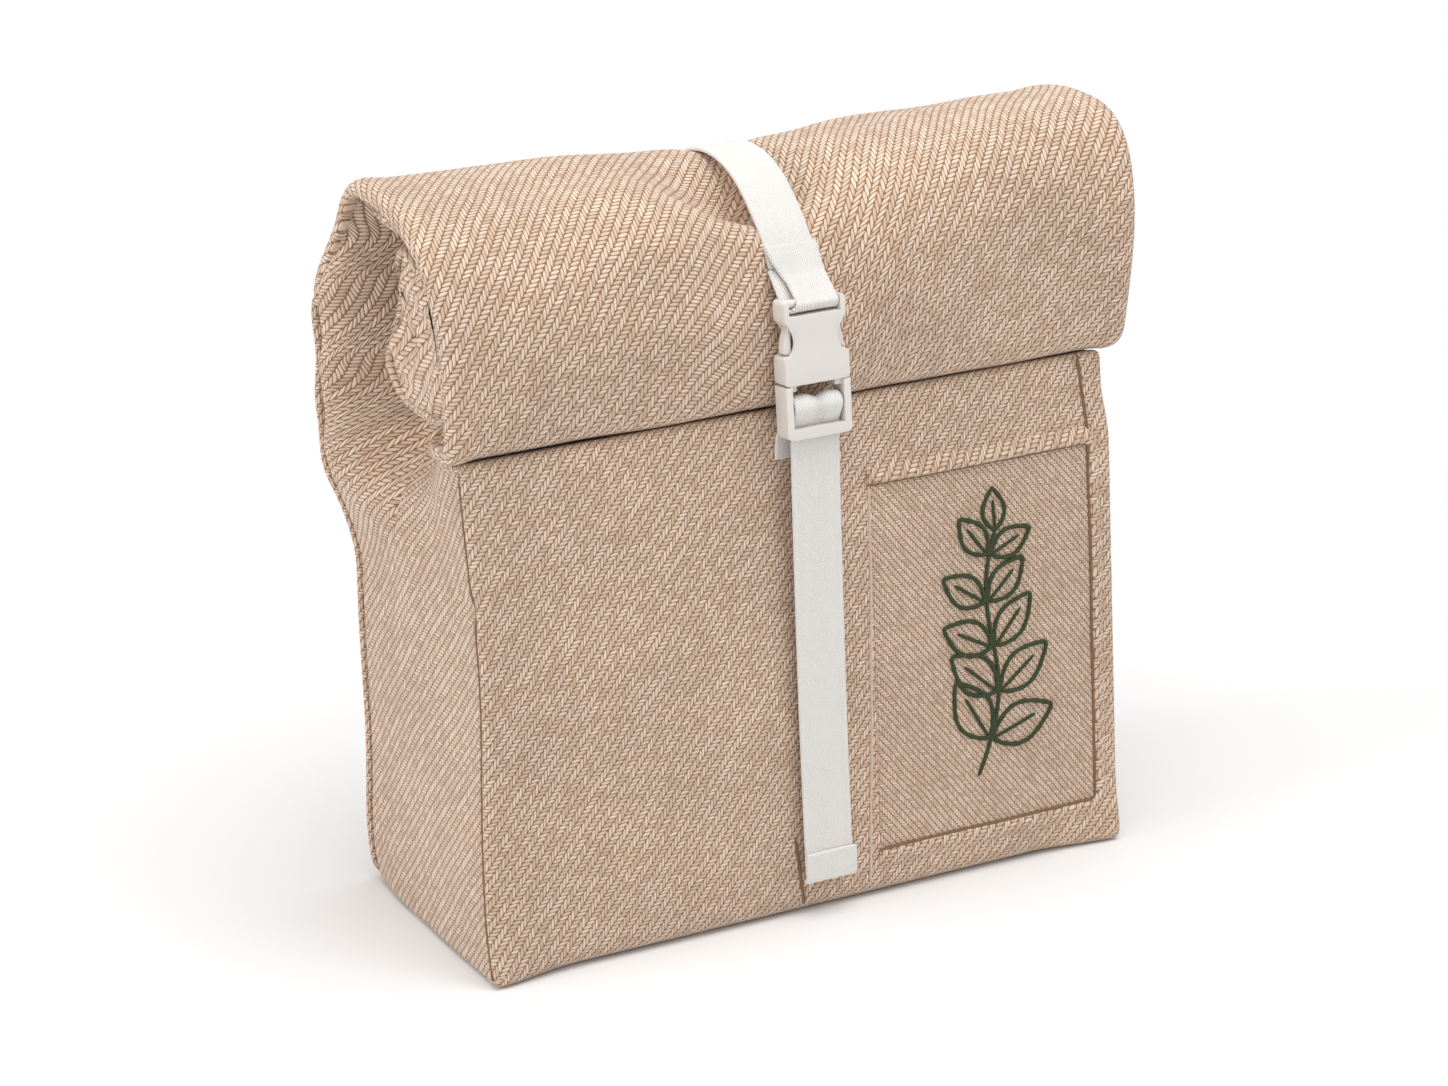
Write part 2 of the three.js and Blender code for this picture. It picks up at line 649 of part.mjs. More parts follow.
function armShape(side) {
  const edge = new THREE.Path();
  edge.moveTo(side * armOuter, armFoot);
  edge.lineTo(side * armOuter, latchFoot);
  edge.lineTo(side * (armOuter + armLatch), latchFoot + slackGap);
  edge.quadraticCurveTo(
    side * (armOuter + armLatch),
    armMiddle,
    side * (armOuter - armThickness / 2),
    armTip,
  );
  edge.lineTo(side * (armOuter - armThickness), armTip);
  edge.quadraticCurveTo(
    side * (armOuter + armLatch - armThickness),
    armMiddle,
    side * (armOuter - armThickness),
    mouthBlock - armThickness,
  );
  edge.lineTo(side * (armOuter - armThickness), armFoot);
  return new THREE.Shape(edge.getPoints(6));
}

const armFront = buckleThickness - socketWall - slackGap;
for (const [side, name] of [[-1, 'left'], [1, 'right']]) {
  const arm = raiseOutward(armShape(side), socketWall + slackGap, armFront);
  addPiece(buckle, `${name}_release_arm`, arm, bucklePlastic);
}

// Lower webbing: sewn to the front, up behind the plug, over the ladder bar and back down behind the end bar
const tailW = endBarBack - seamGap - webbingThickness / 2;
const tailTop = -plugLength;
const frontFoot = toBuckle(point(frontY(0), 0));
const frontTop = toBuckle(point(frontY(frontHeight), frontHeight));

function onFront(u) {
  const share = (u - frontFoot.y) / (frontTop.y - frontFoot.y);
  return point(THREE.MathUtils.lerp(frontFoot.x, frontTop.x, share) - seamGap - webbingThickness / 2, u);
}

const anchorTop = onFront(tailTop);
const tailRun = onBuckle(tailW, endBarTop);
const ladderFrom = meetAngle(anchorTop, -ladderDrop, -1) + 2 * Math.PI;
const ladderTo = meetAngle(tailRun, -ladderDrop, 1);
const anchorPath = [
  onFront(tailTop - anchorLength),
  anchorTop,
  ...turnRound(-ladderDrop, ladderFrom, ladderTo),
  tailRun,
  onBuckle(tailW, tailTop + seamGap),
];
const anchorOutline = stripOutline(anchorPath, webbingThickness);
addPiece(buckle, 'anchor_strap', sweepAlongX(anchorOutline, -webHalf, webHalf), webbing);

// Free tail, hanging in front of the bag with its end folded into a hem
const tailFootAt = toBuckle(point(frontY(tailFoot) - tailStandOff, tailFoot));
const tailTopAt = onBuckle(tailW, tailTop);
const tailDown = tailFootAt.clone().sub(tailTopAt).normalize();
const tailOut = point(tailDown.y, -tailDown.x).multiplyScalar(webbingThickness / 2);
const hemTop = tailFootAt.clone().addScaledVector(tailDown, -hemLength);
const tailOutline = [
  tailTopAt.clone().sub(tailOut),
  tailFootAt.clone().sub(tailOut),
  tailFootAt.clone().addScaledVector(tailOut, 3),
  hemTop.clone().addScaledVector(tailOut, 3),
  hemTop.clone().add(tailOut),
  tailTopAt.clone().add(tailOut),
];
addPiece(buckle, 'strap_tail', sweepAlongX(tailOutline, -webHalf, webHalf), webbing);

export default bag;
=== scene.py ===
import bisect
import bmesh
import bpy
import json
import math
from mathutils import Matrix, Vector, noise


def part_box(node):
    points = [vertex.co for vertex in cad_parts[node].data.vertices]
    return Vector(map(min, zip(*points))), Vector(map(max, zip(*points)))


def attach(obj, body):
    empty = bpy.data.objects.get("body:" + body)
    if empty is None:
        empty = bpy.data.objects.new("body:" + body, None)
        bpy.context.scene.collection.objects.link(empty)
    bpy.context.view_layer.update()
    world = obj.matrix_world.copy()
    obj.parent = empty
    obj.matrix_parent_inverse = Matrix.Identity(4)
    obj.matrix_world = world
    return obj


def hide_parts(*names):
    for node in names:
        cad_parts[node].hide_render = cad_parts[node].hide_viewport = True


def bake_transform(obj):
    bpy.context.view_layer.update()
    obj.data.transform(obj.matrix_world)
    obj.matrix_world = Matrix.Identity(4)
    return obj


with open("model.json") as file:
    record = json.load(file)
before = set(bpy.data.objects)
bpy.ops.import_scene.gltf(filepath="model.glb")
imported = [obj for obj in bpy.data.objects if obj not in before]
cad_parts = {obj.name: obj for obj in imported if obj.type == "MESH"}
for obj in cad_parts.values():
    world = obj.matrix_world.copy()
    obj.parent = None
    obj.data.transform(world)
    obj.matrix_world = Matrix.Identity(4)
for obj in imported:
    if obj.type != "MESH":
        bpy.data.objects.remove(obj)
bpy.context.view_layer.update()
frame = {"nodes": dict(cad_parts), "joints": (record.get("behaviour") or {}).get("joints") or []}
mm = 0.001
print("frame loaded:", len(frame["nodes"]), "nodes")


# small helpers, all in millimetres
def mix(low, high, share):
    return low + (high - low) * share


def ease(low, high, value):  # 0 at low, 1 at high, smooth between
    share = min(max((value - low) / (high - low), 0.0), 1.0)
    return share * share * (3 - 2 * share)


def hump(value, centre, width, power=2):  # 1 at the centre; a higher power gives a flatter top
    return math.exp(-(((value - centre) / width) ** power))


def outOf(way):  # the outward side of a direction in side view
    return Vector((way.y, -way.x))


def narrow(low, high, tooLow, steps):  # halves a span towards the place where tooLow stops being true
    for _ in range(steps):
        middle = (low + high) / 2
        if tooLow(middle):
            low = middle
        else:
            high = middle
    return low


def wander(place, size):  # slow unevenness of hand-sewn cloth, about -1 to 1
    return noise.noise(Vector(place) / size)


def spread(share, length, zone, part):  # closer steps in a zone at both ends
    if share < part:
        return zone * share / part
    if share > 1 - part:
        return length - zone * (1 - share) / part
    return zone + (length - 2 * zone) * (share - part) / (1 - 2 * part)


def pathThrough(points):  # a point and its direction at any distance along a line of points
    points = [Vector(point) for point in points]
    marks = [0.0]
    for start, end in zip(points, points[1:]):
        marks.append(marks[-1] + (end - start).length)
    total = marks[-1]

    def pointAt(distance):
        i = min(max(bisect.bisect_right(marks, distance), 1), len(points) - 1)
        share = (distance - marks[i - 1]) / (marks[i] - marks[i - 1])
        return points[i - 1].lerp(points[i], share)

    def at(distance, blur=0.8):
        low, high = max(distance - blur, 0.0), min(distance + blur, total)
        return pointAt(distance), (pointAt(high) - pointAt(low)).normalized()

    return at, total


def arcPoints(centre, radius, fromAngle, toAngle, steps):
    angles = [math.radians(mix(fromAngle, toAngle, i / steps)) for i in range(steps + 1)]
    return [(centre[0] + radius * math.cos(a), centre[1] + radius * math.sin(a)) for a in angles]


def addPiece(name, bm, material, body=None, replaced=()):
    mesh = bpy.data.meshes.new(name)
    bm.to_mesh(mesh)
    bm.free()
    piece = bpy.data.objects.new(name, mesh)
    bpy.context.scene.collection.objects.link(piece)
    piece.data.materials.append(material)
    if body:
        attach(piece, body)
    if replaced:
        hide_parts(*replaced)
    return piece


def clothGrid(columns, rows, place, closed=False):
    # place gives a point and its spot on the flat cloth for each share across and along
    bm = bmesh.new()
    bmesh.ops.create_grid(bm, x_segments=columns, y_segments=rows, size=0.5)
    flat = bm.loops.layers.uv.new("cloth")
    spots = {}
    for vert in bm.verts:
        point, spots[vert] = place(vert.co.x + 0.5, vert.co.y + 0.5)
        vert.co = Vector(point) * mm
    for face in bm.faces:
        face.smooth = True
        for loop in face.loops:
            loop[flat].uv = Vector(spots[loop.vert]) * mm
    if closed:
        bmesh.ops.remove_doubles(bm, verts=bm.verts, dist=0.01 * mm)
    return bm


def addMesh(whole, part):  # joins a second mesh to the first
    held = bpy.data.meshes.new("part")
    part.to_mesh(held)
    part.free()
    whole.from_mesh(held)
    bpy.data.meshes.remove(held)


def faceOut(bm):
    bmesh.ops.recalc_face_normals(bm, faces=bm.faces)
    return bm


def soften(piece):
    rounding = piece.modifiers.new("rounding", "SUBSURF")
    rounding.levels = 1
    rounding.render_levels = 1


def thicken(piece, thickness):
    wall = piece.modifiers.new("wall", "SOLIDIFY")
    wall.thickness = thickness * mm
    wall.offset = -1
    soften(piece)


def sewPiece(name, settings, place, material, body, replaced):
    grid = clothGrid(settings["columns"], settings["rows"], place)
    piece = addPiece(name, grid, material, body, replaced)
    thicken(piece, settings["cloth"])
    return piece


# node trees
def paint(red, green, blue):  # screen colour, 0 to 255, as Blender's linear one
    def linear(value):
        value /= 255
        return value / 12.92 if value <= 0.04045 else ((value + 0.055) / 1.055) ** 2.4

    return (linear(red), linear(green), linear(blue), 1.0)


def feed(tree, socket, value):  # links a socket, sets its value, or with None leaves it
    if isinstance(value, bpy.types.NodeSocket):
        tree.links.new(value, socket)
    elif value is not None:
        socket.default_value = value


def addNode(tree, kind, *inputs, **settings):
    made = tree.nodes.new("ShaderNode" + kind)
    for setting, value in settings.items():
        setattr(made, setting, value)
    for socket, value in zip(made.inputs, inputs):
        feed(tree, socket, value)
    return made


def calc(tree, operation, *inputs):
    return addNode(tree, "Math", *inputs, operation=operation).outputs[0]


def blendColour(tree, share, first, second, blendType="MIX"):
    made = addNode(tree, "Mix", data_type="RGBA", blend_type=blendType)
    feed(tree, made.inputs[0], share)
    feed(tree, made.inputs[6], first)
    feed(tree, made.inputs[7], second)
    return made.outputs[2]


def newMaterial(name, **settings):
    material = bpy.data.materials.new(name)
    material.use_nodes = True
    tree = material.node_tree
    shader = tree.nodes["Principled BSDF"]
    for socket, value in settings.items():
        shader.inputs[socket].default_value = value
    return material, tree, shader


def clothSpot(tree):  # place on the flat cloth in millimetres, and its parts across and along
    cloth = addNode(tree, "UVMap", uv_map="cloth")
    size = addNode(tree, "VectorMath", cloth.outputs[0], operation="SCALE")
    size.inputs["Scale"].default_value = 1 / mm
    split = addNode(tree, "SeparateXYZ", size.outputs[0])
    return size.outputs[0], split.outputs[0], split.outputs[1]


def addRelief(tree, shader, height, strength, depth):
    bump = addNode(tree, "Bump", strength, depth * mm)
    tree.links.new(height, bump.inputs["Height"])
    tree.links.new(bump.outputs[0], shader.inputs["Normal"])


# thick twill: slanting bands that show upright yarns and level yarns by turns. The dark groove colour is
# painted shade between the yarns; the pale yarn colour is painted highlight on the yarn crowns, varied from
# yarn to yarn at random
twillCloth = dict(
    waleAngle=50.5, halfWale=2.53, uprightPitch=1.27, levelPitch=1.30, drift=0.6, driftSize=0.035,
    groove=paint(148, 114, 86), yarn=paint(211, 180, 154), yarnHighlight=paint(243, 220, 200), relief=0.45,
)


def twillWeave():
    tree = bpy.data.node_groups.new("twillWeave", "ShaderNodeTree")
    tree.interface.new_socket(name="Cloth", in_out="INPUT", socket_type="NodeSocketVector")
    for label in ("Height", "Tint", "Level"):
        tree.interface.new_socket(name=label, in_out="OUTPUT", socket_type="NodeSocketFloat")
    entry = tree.nodes.new("NodeGroupInput")
    leave = tree.nodes.new("NodeGroupOutput")
    size = addNode(tree, "VectorMath", entry.outputs["Cloth"], operation="SCALE")
    size.inputs["Scale"].default_value = 1 / mm
    drift = addNode(tree, "TexNoise", size.outputs[0], None, twillCloth["driftSize"], 2.0)
    centred = addNode(tree, "VectorMath", drift.outputs["Color"], (0.5, 0.5, 0.5), operation="SUBTRACT")
    moved = addNode(tree, "VectorMath", centred.outputs[0], None, operation="SCALE")
    moved.inputs["Scale"].default_value = 4 * twillCloth["drift"]
    place = addNode(tree, "VectorMath", size.outputs[0], moved.outputs[0], operation="ADD")
    split = addNode(tree, "SeparateXYZ", place.outputs[0])
    across, up = split.outputs[0], split.outputs[1]
    angle = math.radians(twillCloth["waleAngle"])
    rise = calc(tree, "MULTIPLY", up, math.cos(angle) / twillCloth["halfWale"])
    wale = calc(tree, "MULTIPLY_ADD", across, -math.sin(angle) / twillCloth["halfWale"], rise)
    band = calc(tree, "FLOOR", wale)
    reach = calc(tree, "MULTIPLY_ADD", calc(tree, "FRACT", wale), 2.0, -1.0)
    level = calc(tree, "FLOORED_MODULO", band, 2.0)
    uprightLane = calc(tree, "DIVIDE", across, twillCloth["uprightPitch"])
    levelLane = calc(tree, "DIVIDE", up, twillCloth["levelPitch"])
    lane = calc(tree, "MULTIPLY_ADD", calc(tree, "SUBTRACT", levelLane, uprightLane), level, uprightLane)
    yarn = calc(tree, "FLOOR", lane)
    side = calc(tree, "MULTIPLY_ADD", calc(tree, "FRACT", lane), 2.0, -1.0)
    room = calc(tree, "SUBTRACT", 1.0, calc(tree, "MULTIPLY", side, side))
    taper = calc(tree, "POWER", calc(tree, "ABSOLUTE", reach), 3.0)
    crown = calc(tree, "SQRT", calc(tree, "MAXIMUM", calc(tree, "SUBTRACT", room, taper), 0.0))
    fuzz = addNode(tree, "TexNoise", size.outputs[0], None, 2.6, 2.0)
    height = calc(tree, "MULTIPLY_ADD", calc(tree, "SUBTRACT", fuzz.outputs["Fac"], 0.5), 0.45, crown)
    spot = addNode(tree, "CombineXYZ", yarn, band, level)
    tint = addNode(tree, "TexWhiteNoise", spot.outputs[0])
    tree.links.new(height, leave.inputs["Height"])
    tree.links.new(tint.outputs["Value"], leave.inputs["Tint"])
    tree.links.new(level, leave.inputs["Level"])
    return tree


twillGroup = twillWeave()


# levelShade is painted shade: it darkens the bands of level yarns as light falling from another direction
# would
def twillMaterial(name, levelShade):  # levelShade darkens the bands of level yarns beside the upright ones
    material, tree, shader = newMaterial(name, Roughness=0.93)
    shader.inputs["Specular IOR Level"].default_value = 0.18
    shader.inputs["Sheen Weight"].default_value = 0.3
    shader.inputs["Sheen Roughness"].default_value = 0.5
    cloth = addNode(tree, "UVMap", uv_map="cloth")
    weave = addNode(tree, "Group", node_tree=twillGroup)
    feed(tree, weave.inputs["Cloth"], cloth.outputs[0])
    shown = addNode(
        tree, "MapRange", weave.outputs["Height"], 0.1, 0.8, 0.0, 1.0, interpolation_type="SMOOTHSTEP"
    )
    # colour from groove to yarn by height is painted shade in the grooves; the pale yarn colour mixed on to
    # the crowns, more on some yarns than others at random, is painted highlight with some random yarn tone
    body = blendColour(tree, shown.outputs[0], twillCloth["groove"], twillCloth["yarn"])
    glint = calc(tree, "MULTIPLY", weave.outputs["Tint"], calc(tree, "POWER", shown.outputs[0], 2.0))
    lit = blendColour(tree, calc(tree, "MULTIPLY", glint, 0.85), body, twillCloth["yarnHighlight"])
    where = addNode(tree, "TexCoord")
    cloud = addNode(tree, "TexNoise", where.outputs["Object"], None, 22.0, 3.0)
    shade = addNode(tree, "MapRange", cloud.outputs["Fac"], 0.3, 0.7, 0.93, 1.05)
    # painted shade on the level-yarn bands, on top of the random tone of the cloud
    banded = calc(tree, "MULTIPLY_ADD", weave.outputs["Level"], levelShade - 1.0, shade.outputs[0])
    toned = blendColour(tree, 1.0, lit, banded, "MULTIPLY")
    tree.links.new(toned, shader.inputs["Base Color"])
    addRelief(tree, shader, weave.outputs["Height"], 1.0, twillCloth["relief"])
    return material


# white tape: fine chevrons either side of its middle
tape = dict(rib=1.15, thread=0.55, ground=paint(223, 219, 214), ridge=paint(242, 239, 235), relief=0.22)


def tapeMaterial():
    material, tree, shader = newMaterial("whiteTape", Roughness=0.78)
    shader.inputs["Specular IOR Level"].default_value = 0.25
    spot, across, along = clothSpot(tree)
    slant = calc(tree, "DIVIDE", calc(tree, "ADD", along, calc(tree, "ABSOLUTE", across)), tape["rib"])
    rib = calc(tree, "SINE", calc(tree, "MULTIPLY", slant, math.tau))
    thread = calc(tree, "SINE", calc(tree, "MULTIPLY", across, math.tau / tape["thread"]))
    fuzz = addNode(tree, "TexNoise", spot, None, 2.0, 2.0)
    relief = calc(tree, "MULTIPLY_ADD", thread, 0.3, rib)
    height = calc(tree, "MULTIPLY_ADD", fuzz.outputs["Fac"], 0.8, relief)
    shown = addNode(tree, "MapRange", height, -1.0, 1.6, 0.0, 1.0)
    colour = blendColour(tree, shown.outputs[0], tape["ground"], tape["ridge"])
    tree.links.new(colour, shader.inputs["Base Color"])
    addRelief(tree, shader, height, 0.6, tape["relief"])
    return material


def plainMaterial(name, low, high, grain, relief, **settings):  # even finish with a fine grain
    material, tree, shader = newMaterial(name, **settings)
    where = addNode(tree, "TexCoord")
    fine = addNode(tree, "TexNoise", where.outputs["Object"], None, grain, 3.0)
    broad = addNode(tree, "TexNoise", where.outputs["Object"], None, grain / 25, 2.0)
    speck = calc(tree, "MULTIPLY", fine.outputs["Fac"], 0.3)
    blotch = calc(tree, "MULTIPLY_ADD", broad.outputs["Fac"], 0.7, speck)
    colour = blendColour(tree, blotch, low, high)
    tree.links.new(colour, shader.inputs["Base Color"])
    smoothest = settings["Roughness"] - 0.05
    roughest = settings["Roughness"] + 0.08
    rough = addNode(tree, "MapRange", fine.outputs["Fac"], 0.3, 0.7, smoothest, roughest)
    tree.links.new(rough.outputs[0], shader.inputs["Roughness"])
    addRelief(tree, shader, fine.outputs["Fac"], 0.5, relief)
    return material


def threadMaterial(name, dark, light, pitch):  # twisted thread; cloth spots run round and along it
    material, tree, shader = newMaterial(name, Roughness=0.7)
    shader.inputs["Specular IOR Level"].default_value = 0.3
    spot, across, along = clothSpot(tree)
    turn = calc(tree, "MULTIPLY_ADD", across, 0.9, along)
    twist = calc(tree, "SINE", calc(tree, "MULTIPLY", turn, math.tau / pitch))
    fuzz = addNode(tree, "TexNoise", spot, None, 1.6, 2.0)
    height = calc(tree, "MULTIPLY_ADD", fuzz.outputs["Fac"], 0.7, calc(tree, "MULTIPLY", twist, 0.5))
    shown = addNode(tree, "MapRange", height, -0.3, 0.9, 0.0, 1.0)
    tree.links.new(blendColour(tree, shown.outputs[0], dark, light), shader.inputs["Base Color"])
    addRelief(tree, shader, height, 0.7, 0.2)
    return material


twill = twillMaterial("beigeTwill", 0.97)
# the sides' twill is a shaded copy of the front's, with more painted shade on its level-yarn bands for light
# falling on the sides
shadedSideTwill = twillMaterial("shadedSideTwill", 0.91)
patchTwill = twillMaterial("patchTwill", 1.0)
whiteTape = tapeMaterial()
lining = plainMaterial("paleLining", paint(214, 204, 188), paint(232, 224, 211), 1800, 0.12, Roughness=0.85)
board = plainMaterial("baseBoard", paint(134, 130, 124), paint(152, 148, 141), 900, 0.08, Roughness=0.6)
moulded = plainMaterial(
    "mouldedBuckle", paint(218, 213, 207), paint(226, 221, 215), 2500, 0.02, Roughness=0.42
)
greenThread = threadMaterial("greenThread", paint(31, 40, 21), paint(70, 82, 51), 1.1)
beigeThread = threadMaterial("beigeThread", paint(196, 170, 147), paint(232, 213, 196), 0.8)
# thread for the sunken seams: its dark brown is painted shade standing in for the shadow inside each seam
seamShadeThread = threadMaterial("seamShadeThread", paint(112, 84, 60), paint(148, 117, 91), 0.8)
print("materials made")


# the sewn box
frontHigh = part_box("front_panel")[1] / mm
baseLow, baseHigh = [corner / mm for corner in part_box("base_panel")]
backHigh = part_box("back_panel")[1] / mm
half, frontTop, backTop = frontHigh.x, frontHigh.z, backHigh.z
sides = ((-1, "left"), (1, "right"))
bodyCloth = dict(
    frontLean=16.5, backLean=2.5, baseRound=4.5, cloth=2.6, frontSwell=1.6, backSwell=2.0, unevenness=0.7,
    edgeRound=2.2, edgeTurn=1.2, tuck=3.0, baseTuck=3.0, topFold=19.0, topRound=2.4, columns=72, rows=112,
    footPush=2.6, footHeight=26, footSharp=0.75, footReach=34, footAhead=(-20, -46), baseTuckReach=40,
    swellEdge=12, edgeFrom=40.0, finerEdges=(11, 0.16), finerEnds=(6, 0.05),
)
flare = dict(
    reach=13.2, starts=124, full=176, fade=0.5, fadeFrom=222, fadeTo=256, inner=70, backward=(-12, 50),
    ripple=0.6, rippleLength=29, rippleShift=9, rippleRise=(130, 165), pinch=1.2, pinchAt=58, pinchSpread=30,
    frontInner=96, forward=(20, -30), waist=3.4, waistAt=112, waistSpread=48, pucker=1.4, puckerAt=136,
    puckerSpread=4, rightShare=0.8, frontRight=3.2, frontRightFall=(178, 155), cornerCut=3.2, cornerHeight=30,
    cornerBackward=(20, 54),
)
# where a gusset starts behind the front's rounded edge
seamIn = bodyCloth["edgeRound"] + bodyCloth["edgeTurn"] + 0.2


def frontY(z):
    return baseLow.y + bodyCloth["frontLean"] * z / frontTop


def backY(z):
    return baseHigh.y + bodyCloth["backLean"] * z / backTop


def flareAt(x, y, z):  # how far the sides are pushed out by the folds inside them, or drawn in
    side = 1 if x > 0 else -1
    full = flare["reach"] * ease(flare["starts"], flare["full"], z)
    full *= 1 - flare["fade"] * ease(flare["fadeFrom"], flare["fadeTo"], z)
    full -= flare["pinch"] * hump(z, flare["pinchAt"], flare["pinchSpread"])
    wave = math.sin(math.tau * (z + flare["rippleShift"] * side) / flare["rippleLength"])
    full += flare["ripple"] * wave * ease(*flare["rippleRise"], z)
    outer = ease(flare["inner"], half, abs(x))
    back = ease(*flare["backward"], y) * outer * (1.0 if side < 0 else flare["rightShare"])
    ahead = ease(*flare["forward"], y) * ease(flare["frontInner"], half, abs(x))
    if side < 0:
        loose = 1.0 - flare["waist"] * hump(z, flare["waistAt"], flare["waistSpread"])
        loose -= flare["pucker"] * hump(z, flare["puckerAt"], flare["puckerSpread"])
    else:
        loose = flare["frontRight"] * ease(*flare["frontRightFall"], z)
    cut = flare["cornerCut"] * max(1 - z / flare["cornerHeight"], 0) ** 2
    cut *= ease(*flare["cornerBackward"], y) * outer
    return side * (back * full + ahead * loose - cut)


def swellAt(x, z, top, swell, start, size):  # bulge of a panel, and its unevenness
    bow = (1 - (x / half) ** 2) * math.sin(math.pi * min(max(z / top, 0), 1))
    return swell * bow + bodyCloth["unevenness"] * wander((x, start, z), size) * ease(0, 25, z)


def frontSwell(x, z):
    return swellAt(x, z, frontTop, bodyCloth["frontSwell"], 0, 42)


def backSwell(x, z):
    return swellAt(x, z, backTop, bodyCloth["backSwell"], 90, 45)


def cornerBend(z):  # how far the rounded foot is drawn in
    r = bodyCloth["baseRound"]
    return r - math.sqrt(r * r - max(r - z, 0.0) ** 2)


def footPush(z):  # the front's bottom corners stand forward
    return bodyCloth["footPush"] * ease(bodyCloth["footHeight"], 0, z)


def bodyPath():  # side view, from the front's top edge under the base to the back's top edge
    r = bodyCloth["baseRound"]
    lean = math.degrees(math.atan2(bodyCloth["frontLean"], frontTop))
    frontFoot = frontY(0) + r
    backFoot = backY(0) - r
    crest = bodyCloth["topRound"]
    foldZ = frontTop - 0.6
    points = [(frontY(frontTop) + bodyCloth["topFold"], foldZ), (frontY(frontTop) + 3.2 * crest, foldZ)]
    points += arcPoints((frontY(frontTop) + crest, frontTop + 0.2), crest, 55, 175, 6)
    points += [(frontY(z), z) for z in (frontTop * 0.96, frontTop * 0.66, frontTop * 0.33, r * 1.3)]
    points += arcPoints((frontFoot + 0.3, r), r, 180 + lean / 2, 270, 6)
    points += arcPoints((backFoot, r), r, 270, 360, 6)
    points += [(backY(z), z) for z in (r * 1.3, backTop * 0.33, backTop * 0.66, backTop)]
    return pathThrough(points)


edgeAt, edgeLength = pathThrough(
    [(-bodyCloth["edgeFrom"], 0.0)]
    + arcPoints((-bodyCloth["edgeRound"], -bodyCloth["edgeRound"]), bodyCloth["edgeRound"], 90, 0, 6)
    + arcPoints(
        (-bodyCloth["edgeTurn"], -bodyCloth["edgeRound"] - 0.1), bodyCloth["edgeTurn"], 0, -90, 4
    )
    + [(-bodyCloth["edgeTurn"] - bodyCloth["tuck"], -bodyCloth["edgeRound"] - bodyCloth["edgeTurn"])]
)
bodyAt, bodyLength = bodyPath()
bodyFlat = half - bodyCloth["edgeFrom"]
bodyAcross = 2 * (bodyFlat + edgeLength)


def bodyPoint(across, along):
    q = bodyAcross / 2 - spread(across, bodyAcross, *bodyCloth["finerEdges"])
    side = 1 if q > 0 else -1
    if abs(q) < bodyFlat:
        x, inward = q, 0.0
    else:
        edge, _ = edgeAt(abs(q) - bodyFlat, 0.1)
        x, inward = side * (half + edge.x), -edge.y
    distance = spread(along, bodyLength, *bodyCloth["finerEnds"])
    spot, way = bodyAt(distance)
    outward = outOf(way)
    y, z = spot
    corner = ease(half - bodyCloth["footReach"], half, abs(x)) * ease(*bodyCloth["footAhead"], y)
    tucked = bodyCloth["baseTuck"] * ease(bodyCloth["baseRound"], 0.2, z)
    tucked *= ease(half - bodyCloth["baseTuckReach"], half, abs(x))
    x -= side * tucked * (1 - bodyCloth["footSharp"] * corner)
    swell = frontSwell(x, z) if y < frontY(z) + 1 else backSwell(x, z) if y > backY(z) - 1 else 0.0
    rise = swell * ease(half, half - bodyCloth["swellEdge"], abs(x)) - inward
    y += outward.x * rise - corner * (footPush(z) + bodyCloth["footSharp"] * cornerBend(z))
    z += outward.y * rise
    return (x + flareAt(x, y, z), y, max(z, 0.0)), (q, -distance)


bodyReplaced = ("front_panel", "base_panel", "back_panel")
bodyPiece = sewPiece("body_cloth", bodyCloth, bodyPoint, twill, "bag", bodyReplaced)
print("body cloth made")


# the rolled top: slack at its left end, full at its right end, drawn in at the strap
rolledTop = dict(
    cloth=5.5, lift=0.8, noseOverhang=2.0, noseRadius=7.0, noseReturn=8.0, overlap=3.0,
    crownSetback=(68, 32), crownHeight=(272.4, 278.4), crownDip=4.7, dipHalfWidth=50,
    crownReach=(62, 19), noseReach=(39, 82), noseSwell=13.7, strapDraw=9, strapPinch=0.6, pinchHalfWidth=34,
    strapDent=2.4, dentHalfWidth=14, dentRise=(20, 50), dentFall=(62, 85), rightBulge=3.6, bulgeFrom=92,
    bulgeRise=(50, 80), joinsBack=(34, 5), hem=0.9, hemIn=6.0, hemWidth=4.0, unevenness=0.8, endFrom=20.0,
    endRound=3.0, endTuck=2.4, columns=92, rows=64, finerEdges=(17, 0.13), finerEnds=(0.03, 0.06),
    weaveScale=0.94,
)
strapX = (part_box("over_strap")[0].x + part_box("over_strap")[1].x) / 2 / mm
tapeWidth = (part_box("over_strap")[1].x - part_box("over_strap")[0].x) / mm
rollHalf = (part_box("roll_outer_wrap")[1] / mm).x
noseY = frontY(frontTop) - rolledTop["noseOverhang"] + rolledTop["cloth"] / 2
noseZ = frontTop + rolledTop["lift"] + rolledTop["cloth"] / 2 + rolledTop["noseRadius"]
creases = [  # ends as (x, distance along the roll from the back), depth and half width
    ((44, 74), (96, 66), 1.4, 7.0),
    ((-52, 78), (-100, 88), 1.2, 7.0),
    ((-30, 128), (-80, 136), 1.0, 8.0),
]
hollows = [(-1, 11.0, 52), (1, 5.5, 42)]  # beside the strap: side, depth and reach; each ends in a lip
lipAt = dict(
    distance=104, slant=0.2, edge=3.6, begins=58, ramp=10, deepest=12, fromStrap=(3, 10),
    ridge=0.25, ridgeBeyond=9, ridgeWidth=7,
)


def crownAt(x):  # the top of the roll, in side view
    share = x / (2 * rollHalf) + 0.5
    dip = rolledTop["crownDip"] * hump(x, strapX, rolledTop["dipHalfWidth"])
    height = mix(*rolledTop["crownHeight"], share) - dip - rolledTop["cloth"] / 2
    return Vector((noseY + mix(*rolledTop["crownSetback"], share), height))


